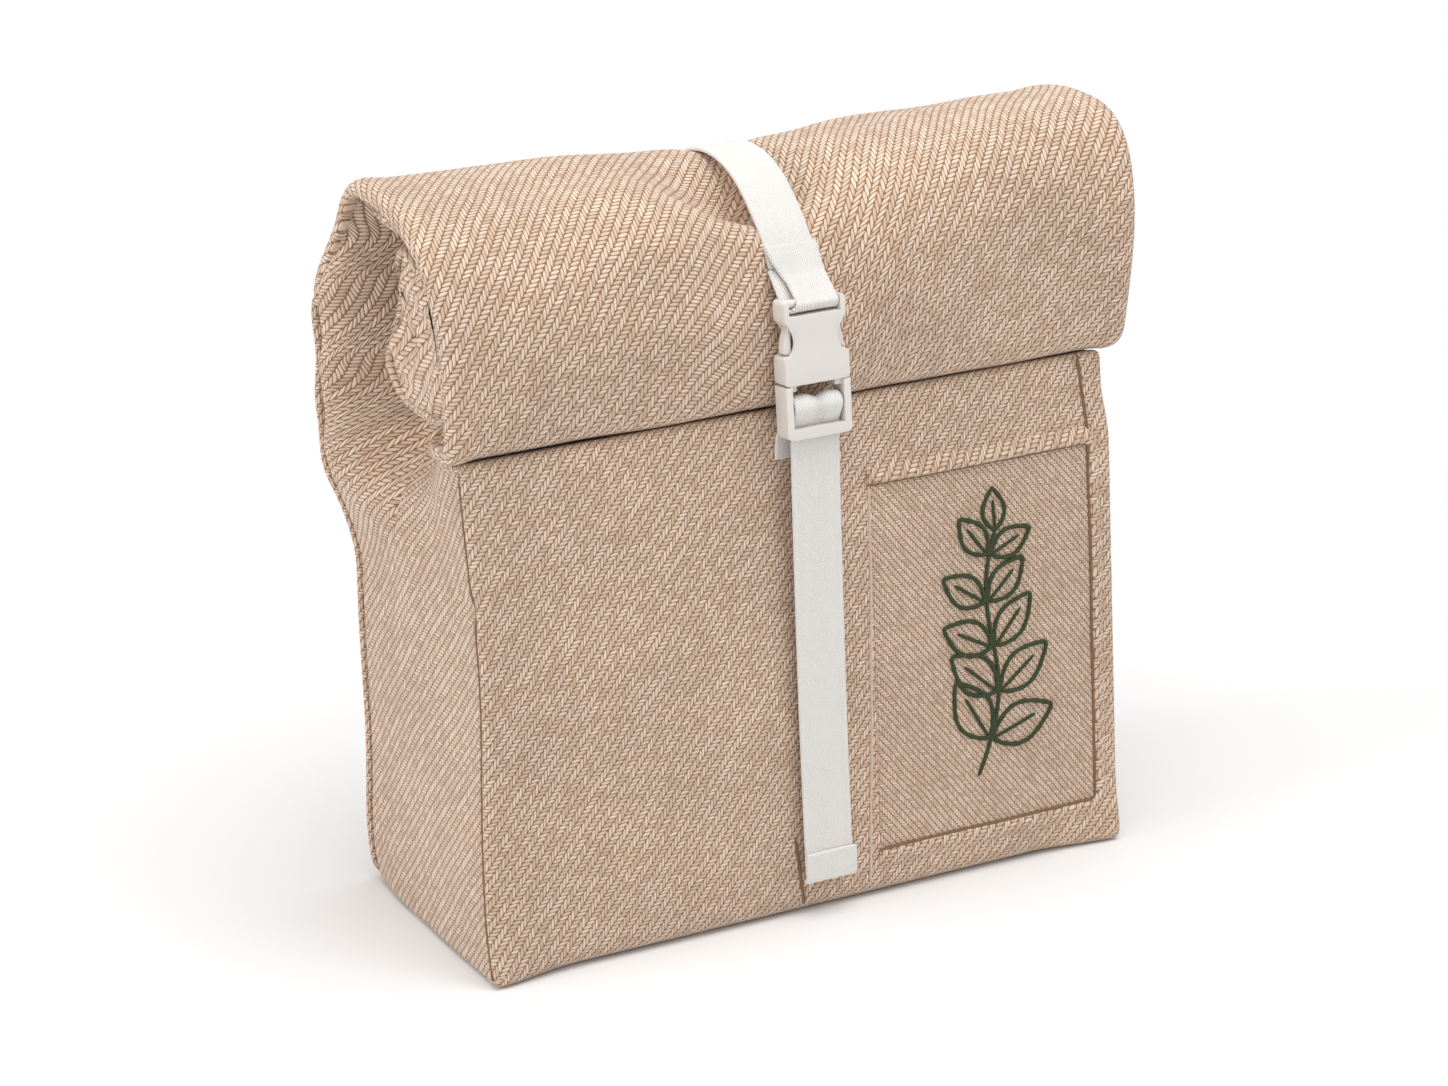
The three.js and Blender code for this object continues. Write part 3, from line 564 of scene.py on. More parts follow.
def rollPath(x):  # side view of the middle of the cloth, from the back over the crown to the nose
    full = x / (2 * rollHalf) + 0.5
    pinch = hump(x, strapX, rolledTop["pinchHalfWidth"], 4)
    crown, nose = crownAt(x), Vector((noseY, noseZ))
    start = Vector((backY(backTop) - rolledTop["cloth"] / 2, backTop - rolledTop["overlap"]))
    points = []
    for i in range(12):
        angle = i / 12 * math.pi / 2
        points.append((mix(crown.x, start.x, math.cos(angle)), mix(start.y, crown.y, math.sin(angle))))
    reach = mix(*rolledTop["crownReach"], full) - rolledTop["strapDraw"] * pinch
    full -= rolledTop["strapPinch"] * pinch
    afterCrown = crown - Vector((reach, 0))
    beforeNose = nose + Vector((-rolledTop["noseSwell"] * full, mix(*rolledTop["noseReach"], full)))
    for i in range(24):
        t = i / 24
        middle = afterCrown.lerp(beforeNose, t)
        early = crown.lerp(afterCrown, t).lerp(middle, t)
        late = middle.lerp(beforeNose.lerp(nose, t), t)
        points.append(early.lerp(late, t))
    r = rolledTop["noseRadius"]
    points += arcPoints((noseY + r, noseZ), r, 180, 270, 8)
    points.append((noseY + r + rolledTop["noseReturn"], noseZ - r))
    return pathThrough(points)


def creaseDepth(x, distance):
    depth = 0.0
    for start, end, deep, width in creases:
        start, end = Vector(start), Vector(end)
        run = end - start
        share = (Vector((x, distance)) - start).dot(run) / run.length_squared
        off = (Vector((x, distance)) - start - run * share).length
        ends = ease(-0.25, 0.1, share) * ease(1.3, 0.4, share)
        depth += deep * ends * (hump(off, 0, width) - 0.55 * hump(off, 1.9 * width, 0.8 * width))
    return depth


def hollowDepth(x, distance):
    depth = 0.0
    for side, deep, reach in hollows:
        out = (x - strapX) * side
        lip = lipAt["distance"] - lipAt["slant"] * out
        near = ease(reach, lipAt["deepest"], out) * ease(*lipAt["fromStrap"], out)
        sunk = ease(lipAt["begins"], lip - lipAt["ramp"], distance)
        sunk *= ease(lip + lipAt["edge"], lip - lipAt["edge"], distance)
        sunk -= lipAt["ridge"] * hump(distance, lip + lipAt["ridgeBeyond"], lipAt["ridgeWidth"])
        depth += deep * near * sunk
    return depth


def dentAt(x, distance, total):
    under = hump(x, strapX, rolledTop["dentHalfWidth"], 4)
    fallFrom, fallTo = rolledTop["dentFall"]
    along = ease(*rolledTop["dentRise"], distance) * ease(total - fallFrom, total - fallTo, distance)
    return rolledTop["strapDent"] * under * along


rollPaths = {}
rollEdgeAt, rollEdgeLength = pathThrough(
    [(-rolledTop["endFrom"], 0.0)]
    + arcPoints((-rolledTop["endRound"], -rolledTop["endRound"]), rolledTop["endRound"], 90, 0, 6)
    + [(0.0, -rolledTop["endRound"] - rolledTop["endTuck"])]
)
rollFlat = rollHalf - rolledTop["endFrom"]
rollAcross = 2 * (rollFlat + rollEdgeLength)


def rollSurface(x, distanceShare, drop):  # a point on the outside of the roll, and its distance along it
    key = round(x, 3)
    if key not in rollPaths:
        rollPaths[key] = rollPath(x)
    at, total = rollPaths[key]
    distance = distanceShare * total
    spot, way = at(distance, 2.0)
    outward = outOf(way)
    uneven = rolledTop["unevenness"] * wander((x, distance, 0), 34) * ease(0, 25, distance)
    hem = rolledTop["hem"] * hump(rollHalf - abs(x), rolledTop["hemIn"], rolledTop["hemWidth"]) - drop
    sunk = creaseDepth(x, distance) + hollowDepth(x, distance) + dentAt(x, distance, total)
    under = 0.2 * ease(rolledTop["overlap"] + 2, rolledTop["overlap"], distance)
    rise = rolledTop["cloth"] / 2 + uneven + hem - sunk - under
    return spot + outward * rise, distance


def rollPoint(across, along):
    q = rollAcross / 2 - spread(across, rollAcross, *rolledTop["finerEdges"])
    x, drop = q, 0.0
    if abs(q) > rollFlat:
        edge, _ = rollEdgeAt(abs(q) - rollFlat, 0.1)
        x, drop = math.copysign(rollHalf + edge.x, q), -edge.y
    spot, distance = rollSurface(x, spread(along, 1.0, *rolledTop["finerEnds"]), drop)
    y, z = spot
    beyond = half + abs(flareAt(math.copysign(half, x), y, backTop)) - rollHalf
    out = beyond * x / rollHalf * ease(*rolledTop["joinsBack"], distance)
    bulge = ease(rolledTop["bulgeFrom"], rollHalf, x) * ease(*rolledTop["bulgeRise"], distance)
    out += rolledTop["rightBulge"] * bulge
    return (x + out, y, z), (q * rolledTop["weaveScale"], -distance * rolledTop["weaveScale"])


rollPiece = sewPiece("roll_cloth", rolledTop, rollPoint, twill, None, ("roll_outer_wrap",))
middleLength = rollPath(0)[1]
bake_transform(rollPiece)
print("rolled top made")


# gussets: pulled in under the roll, with ripples down from it
gusset = dict(
    recess=0.8, edgeRound=2.6, fold=41.0, foldFrom=146, foldFull=206, foldFromCrown=8, seam=7.3, flatFront=15,
    flatFall=(212, 168), crest=0.2, crestRise=(246, 258), ripple=5.2, rippleLength=27, rippleRise=(140, 190),
    rippleBackward=(-4, 22), foldRadius=43.5, foot=0.4, lowTop=198, lowBackward=(-23, -12),
    highBackward=(5.5, 19.5), cloth=2.6, weaveScale=0.95, columns=48, rows=76, finerEdges=(0.06, 0.16),
    finerEnds=(9, 0.12),
)
gussetCrown = crownAt(-rollHalf)
joints = {joint["name"]: joint for joint in frame["joints"]}
liftY, liftZ = (value / mm for value in joints["roll_lift"]["pos_m"][1:])


def gussetTop(y):  # the folded edge: low under the inner turns, high behind them
    low = mix(frontTop - 1.5, gusset["lowTop"], ease(*gusset["lowBackward"], y))
    run = min((y - gussetCrown.x) / (backY(backTop) - rolledTop["cloth"] - 1.5 - gussetCrown.x), 1.0)
    arch = math.sqrt(max(1 - max(run, 0) ** 2, 0.0))
    underWrap = backTop + 3 + (gussetCrown.y - rolledTop["cloth"] / 2 - 4 - backTop) * arch
    ring = liftZ + math.sqrt(max(gusset["foldRadius"] ** 2 - (liftY - y) ** 2, 0.0))
    return mix(low, min(underWrap, ring), ease(*gusset["highBackward"], y))


def drawnIn(y, z):  # how far a side is drawn in under the roll
    deepest = gussetCrown.x - gusset["foldFromCrown"]
    starts = frontY(min(z, frontTop)) + gusset["seam"]
    starts += gusset["flatFront"] * ease(*gusset["flatFall"], z)
    across = ease(starts, deepest, y) * ease(backY(z) - gusset["seam"], deepest, y)
    upward = ease(gusset["foldFrom"], gusset["foldFull"], z)
    upward *= 1 - gusset["crest"] * ease(*gusset["crestRise"], z)
    return gusset["fold"] * across * upward


def sideWeave(y, z):  # distance along the drawn-in side, so that its weave keeps its size
    steps = 20
    total = 0.0
    for i in range(steps):
        near, far = y * i / steps, y * (i + 1) / steps
        total += math.hypot(far - near, drawnIn(far, z) - drawnIn(near, z))
    return math.copysign(total, y) * gusset["weaveScale"]


def gussetPoint(side):
    def place(across, along):
        share = spread(across, 1.0, *gusset["finerEdges"])
        share = share if side > 0 else 1 - share
        y = mix(frontY(100) + seamIn, backY(100) - seamIn, share)
        top = gussetTop(y)
        z = gusset["foot"] + spread(along, top - gusset["foot"], *gusset["finerEnds"])
        bend = cornerBend(z)
        frontEdge = frontY(min(z, frontTop)) + seamIn + bend * (1 - bodyCloth["footSharp"]) - footPush(z)
        backEdge = backY(z) - seamIn - bend
        y = mix(frontEdge, backEdge, share)
        fromEdge = min(y - frontEdge, backEdge - y)
        r = gusset["edgeRound"]
        bent = min(max(r - fromEdge, 0.0), r)
        curl = r - math.sqrt(r * r - bent * bent)
        roundOff = math.copysign(r * math.asin(bent / r) - bent, share - 0.5)
        phase = math.tau * (z * 0.92 + 0.42 * y - 0.7 - 3 * side) / gusset["rippleLength"]
        loose = ease(*gusset["rippleRise"], z) * ease(*gusset["rippleBackward"], y)
        loose *= ease(backEdge + 3, backEdge - 12, y)
        ripple = gusset["ripple"] * loose * (math.sin(phase) + 0.25 * math.sin(2 * phase + 1))
        soft = 0.8 * wander((side * 200, y, z), 38) * ease(2, 14, fromEdge)
        bend *= 1 - bodyCloth["footSharp"] * mix(0.7, 1.0, ease(frontEdge + 34, frontEdge, y))
        inward = gusset["recess"] + curl + bend + drawnIn(y, z) + ripple + soft
        x = side * (half - inward)
        weave = side * (sideWeave(y, z) + gusset["weaveScale"] * roundOff)
        return (x + flareAt(side * half, y, z), y, z), (weave, z * gusset["weaveScale"])

    return place


for side, name in sides:
    place = gussetPoint(side)
    piece = sewPiece(name + "_side_cloth", gusset, place, shadedSideTwill, "bag", (name + "_gusset",))
print("gussets made")


# inner turns of the roll: a tongue-shaped lump inside the wrap, with a thick rim and a sunken end
innerTurns = dict(
    gap=1.2, beyond=2.0, sink=2.6, waist=9.0, waistInward=(118, 92), girth=186, around=64, lengthwise=40,
    endInset=3.6, hole=(-5.0, 226.0), swirl=13.0, endRows=14, endWeave=0.75,
)
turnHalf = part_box("roll_inner_turn")[1].x / mm + innerTurns["beyond"]


def insideWrap(height):  # a spot against the inside of the wrap's slack end
    at, total = rollPath(-rollHalf)
    spot, way = at(narrow(total * 0.35, total - 20, lambda d: at(d, 2.0)[0].y > height, 24), 2.0)
    return spot - outOf(way) * (rolledTop["cloth"] / 2 + innerTurns["gap"])


# side view, clockwise from the nose: up inside the wrap to a thin lip, then down the bulge behind it
turnSection = [insideWrap(height) for height in (206, 219, 232, 243, 252)]
turnSection += [(-2.0, 257.6), (3.6, 254.8), (4.4, 250.0), (0.6, 245.4), (3.2, 239.0), (6.0, 231.0)]
turnSection += [(10.7, 222.2), (15.6, 214.0), (11.5, 207.0), (3.5, 201.6), (-9.4, 199.2)]
turnSection += [(-20.0, 199.4), (-28.0, 201.0)]


def smoothLoop(points, share):  # closed spline through the points
    count = len(points)
    place = share % 1.0 * count
    i = int(place) % count
    t = place - int(place)
    a, b, c, d = (Vector(points[(i + k) % count]) for k in (-1, 0, 1, 2))
    return 0.5 * (2 * b + (c - a) * t + (2 * a - 5 * b + 4 * c - d) * t * t + (3 * b - a - 3 * c + d) * t**3)


turnSpine = (Vector((-13.0, 208.0)), Vector((-4.0, 238.0)))
turnRim = [  # inset from the outside and depth from the end, over the rounded rim and down inside it
    (0.0, 9.0), (0.0, 4.0), (0.2, 1.6), (0.8, 0.4), (1.7, 0.0),
    (2.7, 0.3), (3.4, 1.0), (3.9, 2.2), (4.2, 7.0),
]


def turnSpot(x, share, inset):  # a point of the side view, drawn in towards the middle of the turns
    spot = smoothLoop(turnSection, share)
    inset += innerTurns["waist"] * ease(*innerTurns["waistInward"], abs(x))
    low, high = turnSpine
    run = high - low
    core = low + run * min(max((spot - low).dot(run) / run.length_squared, 0.0), 1.0)
    away = spot - core
    return core + away * max(1 - inset / max(away.length, 0.1), 0.0)


def turnPoint(across, along):
    rows, rimRows = innerTurns["lengthwise"], len(turnRim) - 1
    step = round(along * rows)
    fromEnd = min(step, rows - step)
    if fromEnd > rimRows:
        inset = 0.0
        reach = turnHalf - turnRim[0][1] - 4
        x = mix(-reach, reach, (step - rimRows - 1) / (rows - 2 * rimRows - 2))
    else:
        inset, deep = turnRim[rimRows - fromEnd]
        x = math.copysign(turnHalf - deep, step - rows / 2)
    spot = turnSpot(x, across, inset)
    soft = 0.8 * wander((x * 0.5, spot.x, spot.y), 16)
    return (x, spot.x + soft, spot.y + soft), (across * innerTurns["girth"], x + math.copysign(inset, x))


def turnEndPoint(side):  # sunken cloth inside the rim, folded round a small hole
    def place(across, along):
        spot = turnSpot(side * turnHalf, across, innerTurns["endInset"])
        middle = Vector(innerTurns["hole"])
        spot = spot.lerp(middle, along)
        away = (spot - middle).length
        swirl = math.sin(math.tau * (across + away / innerTurns["swirl"]))
        deep = innerTurns["sink"] - 2.4 * ease(2, 10, away) * ease(34, 12, away)
        deep += swirl * ease(3, 9, away) + 3.0 * hump(away, 0, 3.0)
        deep += 0.9 * wander((side * 60, *spot), 11)
        weave = innerTurns["endWeave"]
        return (side * (turnHalf - deep), spot.x, spot.y), (side * spot.x * weave, spot.y * weave)

    return place


tuckFold = dict(
    middle=(15.5, 262.3), reach=14.0, thick=3.5, tilt=0.075, inner=100, outer=133.5, endRound=7, girth=62,
    columns=28, rows=18,
)


def tuckFoldPoint(side):  # a flat fold of the cloth caught between the inner turns and the top of the wrap
    def place(across, along):
        run = along * (tuckFold["outer"] - tuckFold["inner"])
        fromEnd = min(run, tuckFold["outer"] - tuckFold["inner"] - run)
        r = tuckFold["endRound"]
        size = math.sqrt(max(r * r - max(r - fromEnd, 0.0) ** 2, 0.0)) / r
        turn = across * math.tau
        y = tuckFold["reach"] * math.cos(turn) * mix(0.55, 1.0, size)
        z = tuckFold["thick"] * math.sin(turn) * size + tuckFold["tilt"] * y
        x = side * (tuckFold["inner"] + run)
        z += 0.7 * wander((x, y, 300), 9)
        return (x, tuckFold["middle"][0] + y, tuckFold["middle"][1] + z), (x, across * tuckFold["girth"])

    return place


turnMesh = clothGrid(innerTurns["around"], innerTurns["lengthwise"], turnPoint, closed=True)
for side in (-1, 1):
    addMesh(turnMesh, clothGrid(innerTurns["around"], innerTurns["endRows"], turnEndPoint(side), closed=True))
    addMesh(turnMesh, clothGrid(tuckFold["columns"], tuckFold["rows"], tuckFoldPoint(side), closed=True))
turnPiece = addPiece("inner_turns", faceOut(turnMesh), twill, "roll_top", ("roll_inner_turn",))
soften(turnPiece)
print("inner turns made")


# patch on the front, with its sewn groove and a leaf sprig
patchLow, patchHigh = [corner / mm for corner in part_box("front_patch")]
patch = dict(
    proud=0.9, groove=0.7, grooveWidth=1.8, corner=3.0, cloth=1.4, weaveScale=1.3, columns=52, rows=72,
    finerEdges=(9, 0.2), finerEnds=(9, 0.15),
)
leanAngle = math.atan2(bodyCloth["frontLean"], frontTop)
frontOut = Vector((0, -math.cos(leanAngle), math.sin(leanAngle)))
patchMiddleX = (patchLow.x + patchHigh.x) / 2
patchHalfX = (patchHigh.x - patchLow.x) / 2
patchHalfZ = (patchHigh.z - patchLow.z) / 2
patchMiddleZ = (patchLow.z + patchHigh.z) / 2


def patchRise(x, z):  # height of the patch's face above the front
    fromEdge = min(patchHalfX - abs(x - patchMiddleX), patchHalfZ - abs(z - patchMiddleZ))
    groove = patch["groove"] * hump(fromEdge, 0.5, patch["grooveWidth"])
    return patch["proud"] - groove + 0.5 * ease(2, 26, fromEdge) + 0.3 * wander((x, 50, z), 20)


def onFront(x, z, rise):
    return Vector((x, frontY(z), z)) + frontOut * (frontSwell(x, z) + rise)


def patchPoint(across, along):
    x = patchMiddleX - patchHalfX + spread(across, 2 * patchHalfX, *patch["finerEdges"])
    z = patchMiddleZ - patchHalfZ + spread(along, 2 * patchHalfZ, *patch["finerEnds"])
    c = patch["corner"]
    dx = abs(x - patchMiddleX) - (patchHalfX - c)
    dz = abs(z - patchMiddleZ) - (patchHalfZ - c)
    if dx > 0 and dz > 0:
        pull = max(dx, dz) / math.hypot(dx, dz)
        x += math.copysign(dx * (pull - 1), x - patchMiddleX)
        z += math.copysign(dz * (pull - 1), z - patchMiddleZ)
    return onFront(x, z, patchRise(x, z)), (-x * patch["weaveScale"], z * patch["weaveScale"])


patchPiece = sewPiece("front_patch_cloth", patch, patchPoint, patchTwill, "bag", ("front_patch",))

# turned edge of the front that frames the patch above, to the right and below
welt = dict(along=150, narrowed=0.7, topRise=2.2, cloth=0.8)
weltProfile = [  # distance out from the patch's edge, and height
    (-0.5, -0.4), (-0.4, 0.4), (0.1, 0.7), (0.9, 0.8), (1.9, 0.7), (3.0, 0.4), (4.4, 0.0), (5.4, -0.6),
]


def frontDistance(z):  # along the body's cloth, to a height on the front
    return narrow(24.0, bodyLength * 0.45, lambda distance: bodyAt(distance)[0].y > z, 30)


def weltEdge():
    c = patch["corner"]
    right, top, foot = patchHigh.x - c, patchHigh.z - c, patchLow.z + c
    points = [(patchLow.x - 0.5, patchHigh.z)]
    points += arcPoints((right, top), c, 90, 0, 8)
    points += arcPoints((right, foot), c, 0, -90, 8)
    points.append((patchLow.x - 0.5, patchLow.z))
    return pathThrough(points)


weltAt, weltLength = weltEdge()


def weltPoint(across, along):
    spot, way = weltAt(along * weltLength, 1.2)
    outward = Vector((-way.y, way.x))
    out, rise = weltProfile[round(across * (len(weltProfile) - 1))]
    out *= mix(1.0, welt["narrowed"], abs(outward.x)) if out > 0 else 1.0
    ends = ease(0, 9, along * weltLength) * ease(weltLength, weltLength - 9, along * weltLength)
    x, z = spot + outward * out
    rise *= mix(1.0, welt["topRise"], max(outward.y, 0.0)) if rise > 0 else 1.0
    rise = mix(min(rise, 0.3), rise + 0.2 * wander((x, 70, z), 9), ends)
    return onFront(x, z, rise), (x, -frontDistance(z))


weltMesh = clothGrid(len(weltProfile) - 1, welt["along"], weltPoint)
weltPiece = addPiece("patch_welt", faceOut(weltMesh), twill, "bag")
thicken(weltPiece, welt["cloth"])


def threadTube(line, radius, closed, swelling):
    # a thread along a line of points on the front; swelling gives it the bulge of single stitches
    points = line + line[:1] if closed else line
    count = len(points)

    def place(across, along):
        i = round(along * (count - 1))
        before = points[i - 1] if i > 0 else points[-2] if closed else points[0]
        after = points[i + 1] if i < count - 1 else points[1] if closed else points[-1]
        way = (after - before).normalized()
        side = way.cross(frontOut).normalized()
        turn = across * math.tau
        end = 1.0 if closed else min(1.0, 0.45 + 0.4 * min(i, count - 1 - i))
        swell = end * (1 + swelling * math.sin(i * math.tau / 3))
        spot = points[i] + (side * math.cos(turn) + frontOut * math.sin(turn) * 0.75) * radius * swell
        return spot, (across * math.tau * radius, lengths[i])

    lengths = [0.0]
    for start, end in zip(points, points[1:]):
        lengths.append(lengths[-1] + (end - start).length)
    return clothGrid(8, count - 1, place, closed=True)


def threadMesh(lines, swelling):  # lines as (points, whether closed, radius)
    whole = bmesh.new()
    for points, closed, radius in lines:
        addMesh(whole, threadTube(points, radius, closed, swelling))
    return faceOut(whole)


# leaf sprig: one bowed stem with pairs of outlined leaves
sprig = dict(
    foot=(70, 38), top=(80, 130), bow=11, stemLength=110, leaves=5, leafSpan=(0.14, 0.76), leafAngle=52,
    leafLength=27, leafWidth=13, leafSizes=(1.05, 0.62), stalk=1.6, tipAngle=92, tipLeaf=(15, 8),
    line=0.85, veinLine=0.7, step=1.3, swelling=0.12,
)


def sprigStem(share):
    foot, top = Vector(sprig["foot"]), Vector(sprig["top"])
    bow = sprig["bow"] * math.sin(math.pi * share) * math.cos(math.pi * share * 0.8)
    return foot.lerp(top, share) + Vector((bow, 0))


def raised(points):  # points of the front's plane, lifted on to the patch
    return [onFront(p.x, p.y, patchRise(p.x, p.y) + 0.35) for p in points]


def leafLines(root, angle, length, width):
    way = Vector((math.cos(angle), math.sin(angle)))
    out = Vector((-way.y, way.x))
    count = int(2.2 * length / sprig["step"])
    edge = []
    for i in range(count):
        t = i / count
        along = 0.5 - 0.5 * math.cos(math.tau * t)
        across = math.sin(math.tau * t) * (0.55 + 0.45 * math.sin(math.pi * along)) * (1 - 0.35 * along)
        edge.append(root + way * length * along + out * width * across * 0.72)
    veinCount = int(0.72 * length / sprig["step"])
    vein = [root + way * length * (0.02 + 0.7 * i / veinCount) for i in range(veinCount + 1)]
    return [(edge, True, sprig["line"]), (vein, False, sprig["veinLine"])]


def sprigLines():
    steps = int(sprig["stemLength"] / sprig["step"])
    lines = [([sprigStem(i / steps) for i in range(steps + 1)], False, sprig["line"])]
    first, span = sprig["leafSpan"]
    for i in range(sprig["leaves"]):
        share = first + span * i / (sprig["leaves"] - 1)
        root = sprigStem(share)
        ahead = sprigStem(min(share + 0.02, 1.0)) - sprigStem(share - 0.02)
        heading = math.atan2(ahead.y, ahead.x)
        size = mix(*sprig["leafSizes"], share)
        for turn in (-1, 1):
            angle = heading + turn * math.radians(sprig["leafAngle"])
            start = root + Vector((math.cos(angle), math.sin(angle))) * sprig["stalk"]
            lines += leafLines(start, angle, sprig["leafLength"] * size, sprig["leafWidth"] * size)
    tip = sprigStem(1.0) + Vector((0, 0.5))
    lines += leafLines(tip, math.radians(sprig["tipAngle"]), *sprig["tipLeaf"])
    return [(raised(points), closed, radius) for points, closed, radius in lines]


addPiece("leaf_sprig", threadMesh(sprigLines(), sprig["swelling"]), greenThread, "bag")
tuck = dict(top=(28.6, 160), foot=(23.6, 6), radius=0.55, swelling=0.25)
tuckLine = [Vector(tuck["top"]).lerp(Vector(tuck["foot"]), i / 140) for i in range(141)]
tuckLine = [onFront(p.x, p.y, 0.15) for p in tuckLine]
tuckMesh = threadMesh([(tuckLine, False, tuck["radius"])], tuck["swelling"])
tuckPiece = addPiece("patch_tuck_line", tuckMesh, beigeThread, "bag")

# sunken seams: round the patch, from its corner up to the roll, a short one at the foot of the front,
# and down both edges between the front and the sides; the dark thread laid in them is painted shade of the
# sunken seams
seams = dict(
    radius=0.7, inset=1.0, rise=0.6, step=1.2, cornerIn=0.4, cornerBack=3.1, swelling=0.2,
    sideSeam=((122.9, 158), (118.6, 189)), foot=(-4, 32),
)
patchSeam = []
for i in range(int(weltLength / seams["step"]) + 1):
    spot, way = weltAt(i * seams["step"], 1.2)
    x, z = spot - Vector((-way.y, way.x)) * seams["inset"]
    patchSeam.append(onFront(x, z, seams["rise"]))
low, high = (Vector(end) for end in seams["sideSeam"])
sideSeam = [onFront(*low.lerp(high, i / 26), 0.0) for i in range(27)]
footSeam = [onFront(seams["foot"][0] - 0.12 * z, z, 0.0) for z in range(4, seams["foot"][1], 2)]


def cornerSeam(side):
    line = []
    for z in range(3, int(frontTop) - 1, 2):
        y = frontY(z) + seams["cornerBack"] - footPush(z)
        line.append(Vector((side * (half - seams["cornerIn"]) + flareAt(side * half, y, z), y, z)))
    return line


seamLines = (patchSeam, sideSeam, footSeam, cornerSeam(-1), cornerSeam(1))
seamMesh = threadMesh([(line, False, seams["radius"]) for line in seamLines], seams["swelling"])
seamPiece = addPiece("front_seam_shade_lines", seamMesh, seamShadeThread, "bag")
print("patch and sprig made")


# white tape: a sheet along a path in the side view, thicker at its selvedges
strap = dict(thickness=1.6, selvedge=0.25, across=14, clearance=0.3, overRoll=0.5, sinks=0.8, layer=2.0)
tapeRise = strap["clearance"] + strap["thickness"] / 2
upWay = Vector(joints["buckle_release"]["axis"]).normalized()
outWay = Vector((0, -upWay.z, upWay.y))
socketPoints = [v.co / mm for v in frame["nodes"]["buckle_socket"].data.vertices]
seatUp = min(p.dot(upWay) for p in socketPoints)
seatOut = min(p.dot(outWay) for p in socketPoints)


def onBuckle(out, up):  # side-view point from heights out of and up the buckle
    spot = upWay * (seatUp + up) + outWay * (seatOut + out)
    return Vector((spot.y, spot.z))


def tapeAlong(
    name, points, rows, body, node, puff=None, shift=None, width=tapeWidth
):
    # the points are the middle of the tape's thickness, with its outer face on the right of the path;
    # puff lifts and shift moves a spot, from its place across and its share of the length
    at, total = pathThrough(points)

    def place(across, along):
        offset = mix(-0.5, 0.5, across) * width
        distance = along * total
        spot, way = at(distance, 1.0)
        edge = strap["selvedge"] * hump(width / 2 - abs(offset), 1.2, 1.0)
        rise = strap["thickness"] / 2 + edge + (puff(offset, along) if puff else 0.0)
        spot = spot + outOf(way) * rise
        x = strapX + offset + (shift(offset, along) if shift else 0.0)
        return (x, spot.x, spot.y), (offset, distance)

    bm = clothGrid(strap["across"], rows, place)
    bmesh.ops.reverse_faces(bm, faces=bm.faces)
    piece = addPiece(name, bm, whiteTape, body, (node,) if node else ())
    thicken(piece, strap["thickness"])
    return piece


def overStrapPath(lowest):  # over the roll and down to a height on the buckle
    at, total = rollPath(strapX)
    points = []
    steps = 60
    for i in range(steps + 1):
        distance = mix(rolledTop["overlap"], total, i / steps)
        spot, way = at(distance, 2.0)
        dent = dentAt(strapX, distance, total)
        rise = rolledTop["cloth"] / 2 + strap["overRoll"] + strap["thickness"] / 2 - strap["sinks"] * dent
        lifted = spot + outOf(way) * rise
        height = Vector((0, lifted.x, lifted.y)).dot(upWay) - seatUp
        if i > steps / 2 and height < lowest:
            break
        points.append(lifted)
    return points


socketLoop = dict(
    top=36.5, lowest=31.0, laps=((36.5, 1.5), (39.5, 1.2), (43, 1.0), (46.2, 0.92)),
    gather=0.19, crease=0.7, wider=0.8,
)
overPath = overStrapPath(socketLoop["top"])
lapPath = overStrapPath(socketLoop["lowest"])
rearLow, rearHigh = [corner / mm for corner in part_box("rear_strap")]
rearHeights = (rearLow.z, 160, 190, 212, rearHigh.z)
tapeAlong(
    "rear_tape", [(backY(z) + tapeRise + backSwell(strapX, z), z) for z in rearHeights], 24,
    "bag", "rear_strap",
)
overPiece = tapeAlong("over_tape", overPath, 60, None, "over_strap")
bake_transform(overPiece)

bar = dict(out=4.4, loopUp=28.5, ladderUp=-8.6, radius=2.6)


def turnAround(up, radius, fromAngle, toAngle, steps=14):  # round a bar, angle 0 pointing out of the buckle
    angles = [math.radians(mix(fromAngle, toAngle, i / steps)) for i in range(steps + 1)]
    return [onBuckle(bar["out"] + radius * math.cos(a), up + radius * math.sin(a)) for a in angles]


def heightOnBuckle(spot):
    point = Vector((0, spot[0], spot[1]))
    return point.dot(outWay) - seatOut, point.dot(upWay) - seatUp


def lapPoint(up, layer):  # on the strap over the roll, so many layers of tape above it
    for spot, nextSpot in zip(lapPath[30:], lapPath[31:]):
        _, high = heightOnBuckle(spot)
        _, low = heightOnBuckle(nextSpot)
        if low <= up:
            way = (Vector(nextSpot) - Vector(spot)).normalized()
            at = Vector(spot).lerp(Vector(nextSpot), (high - up) / (high - low))
            return at + outOf(way) * layer * strap["layer"]
    return Vector(lapPath[-1])


loopPoints = [Vector(overPath[-1])]
loopPoints += turnAround(bar["loopUp"], bar["radius"], 178, 352)
loopPoints += [lapPoint(up, layer) for up, layer in socketLoop["laps"]]


def loopGather(offset, share):  # the front layer is drawn in from its left edge towards the bar
    reach = ease(0.02, 0.36, share) * ease(0.66, 0.5, share)
    return socketLoop["gather"] * (tapeWidth / 2 - offset) * reach


def loopCrease(offset, share):
    return -socketLoop["crease"] * hump(offset, 1.5, 2.0) * hump(share, 0.42, 0.1)


tapeAlong(
    "socket_tape", loopPoints[::-1], 60, "upper_strap", "socket_loop",
    puff=loopCrease, shift=loopGather, width=tapeWidth + socketLoop["wider"],
)


def ladderPuff(offset, share):  # tape bunched in two lobes over the ladder bar
    lobes = 1.0 - 1.9 * hump(offset, 0.5, 2.2) - 0.9 * hump(abs(offset), tapeWidth / 2, 2.5)
    return lobes * ease(0.3, 0.5, share) * ease(0.97, 0.8, share)


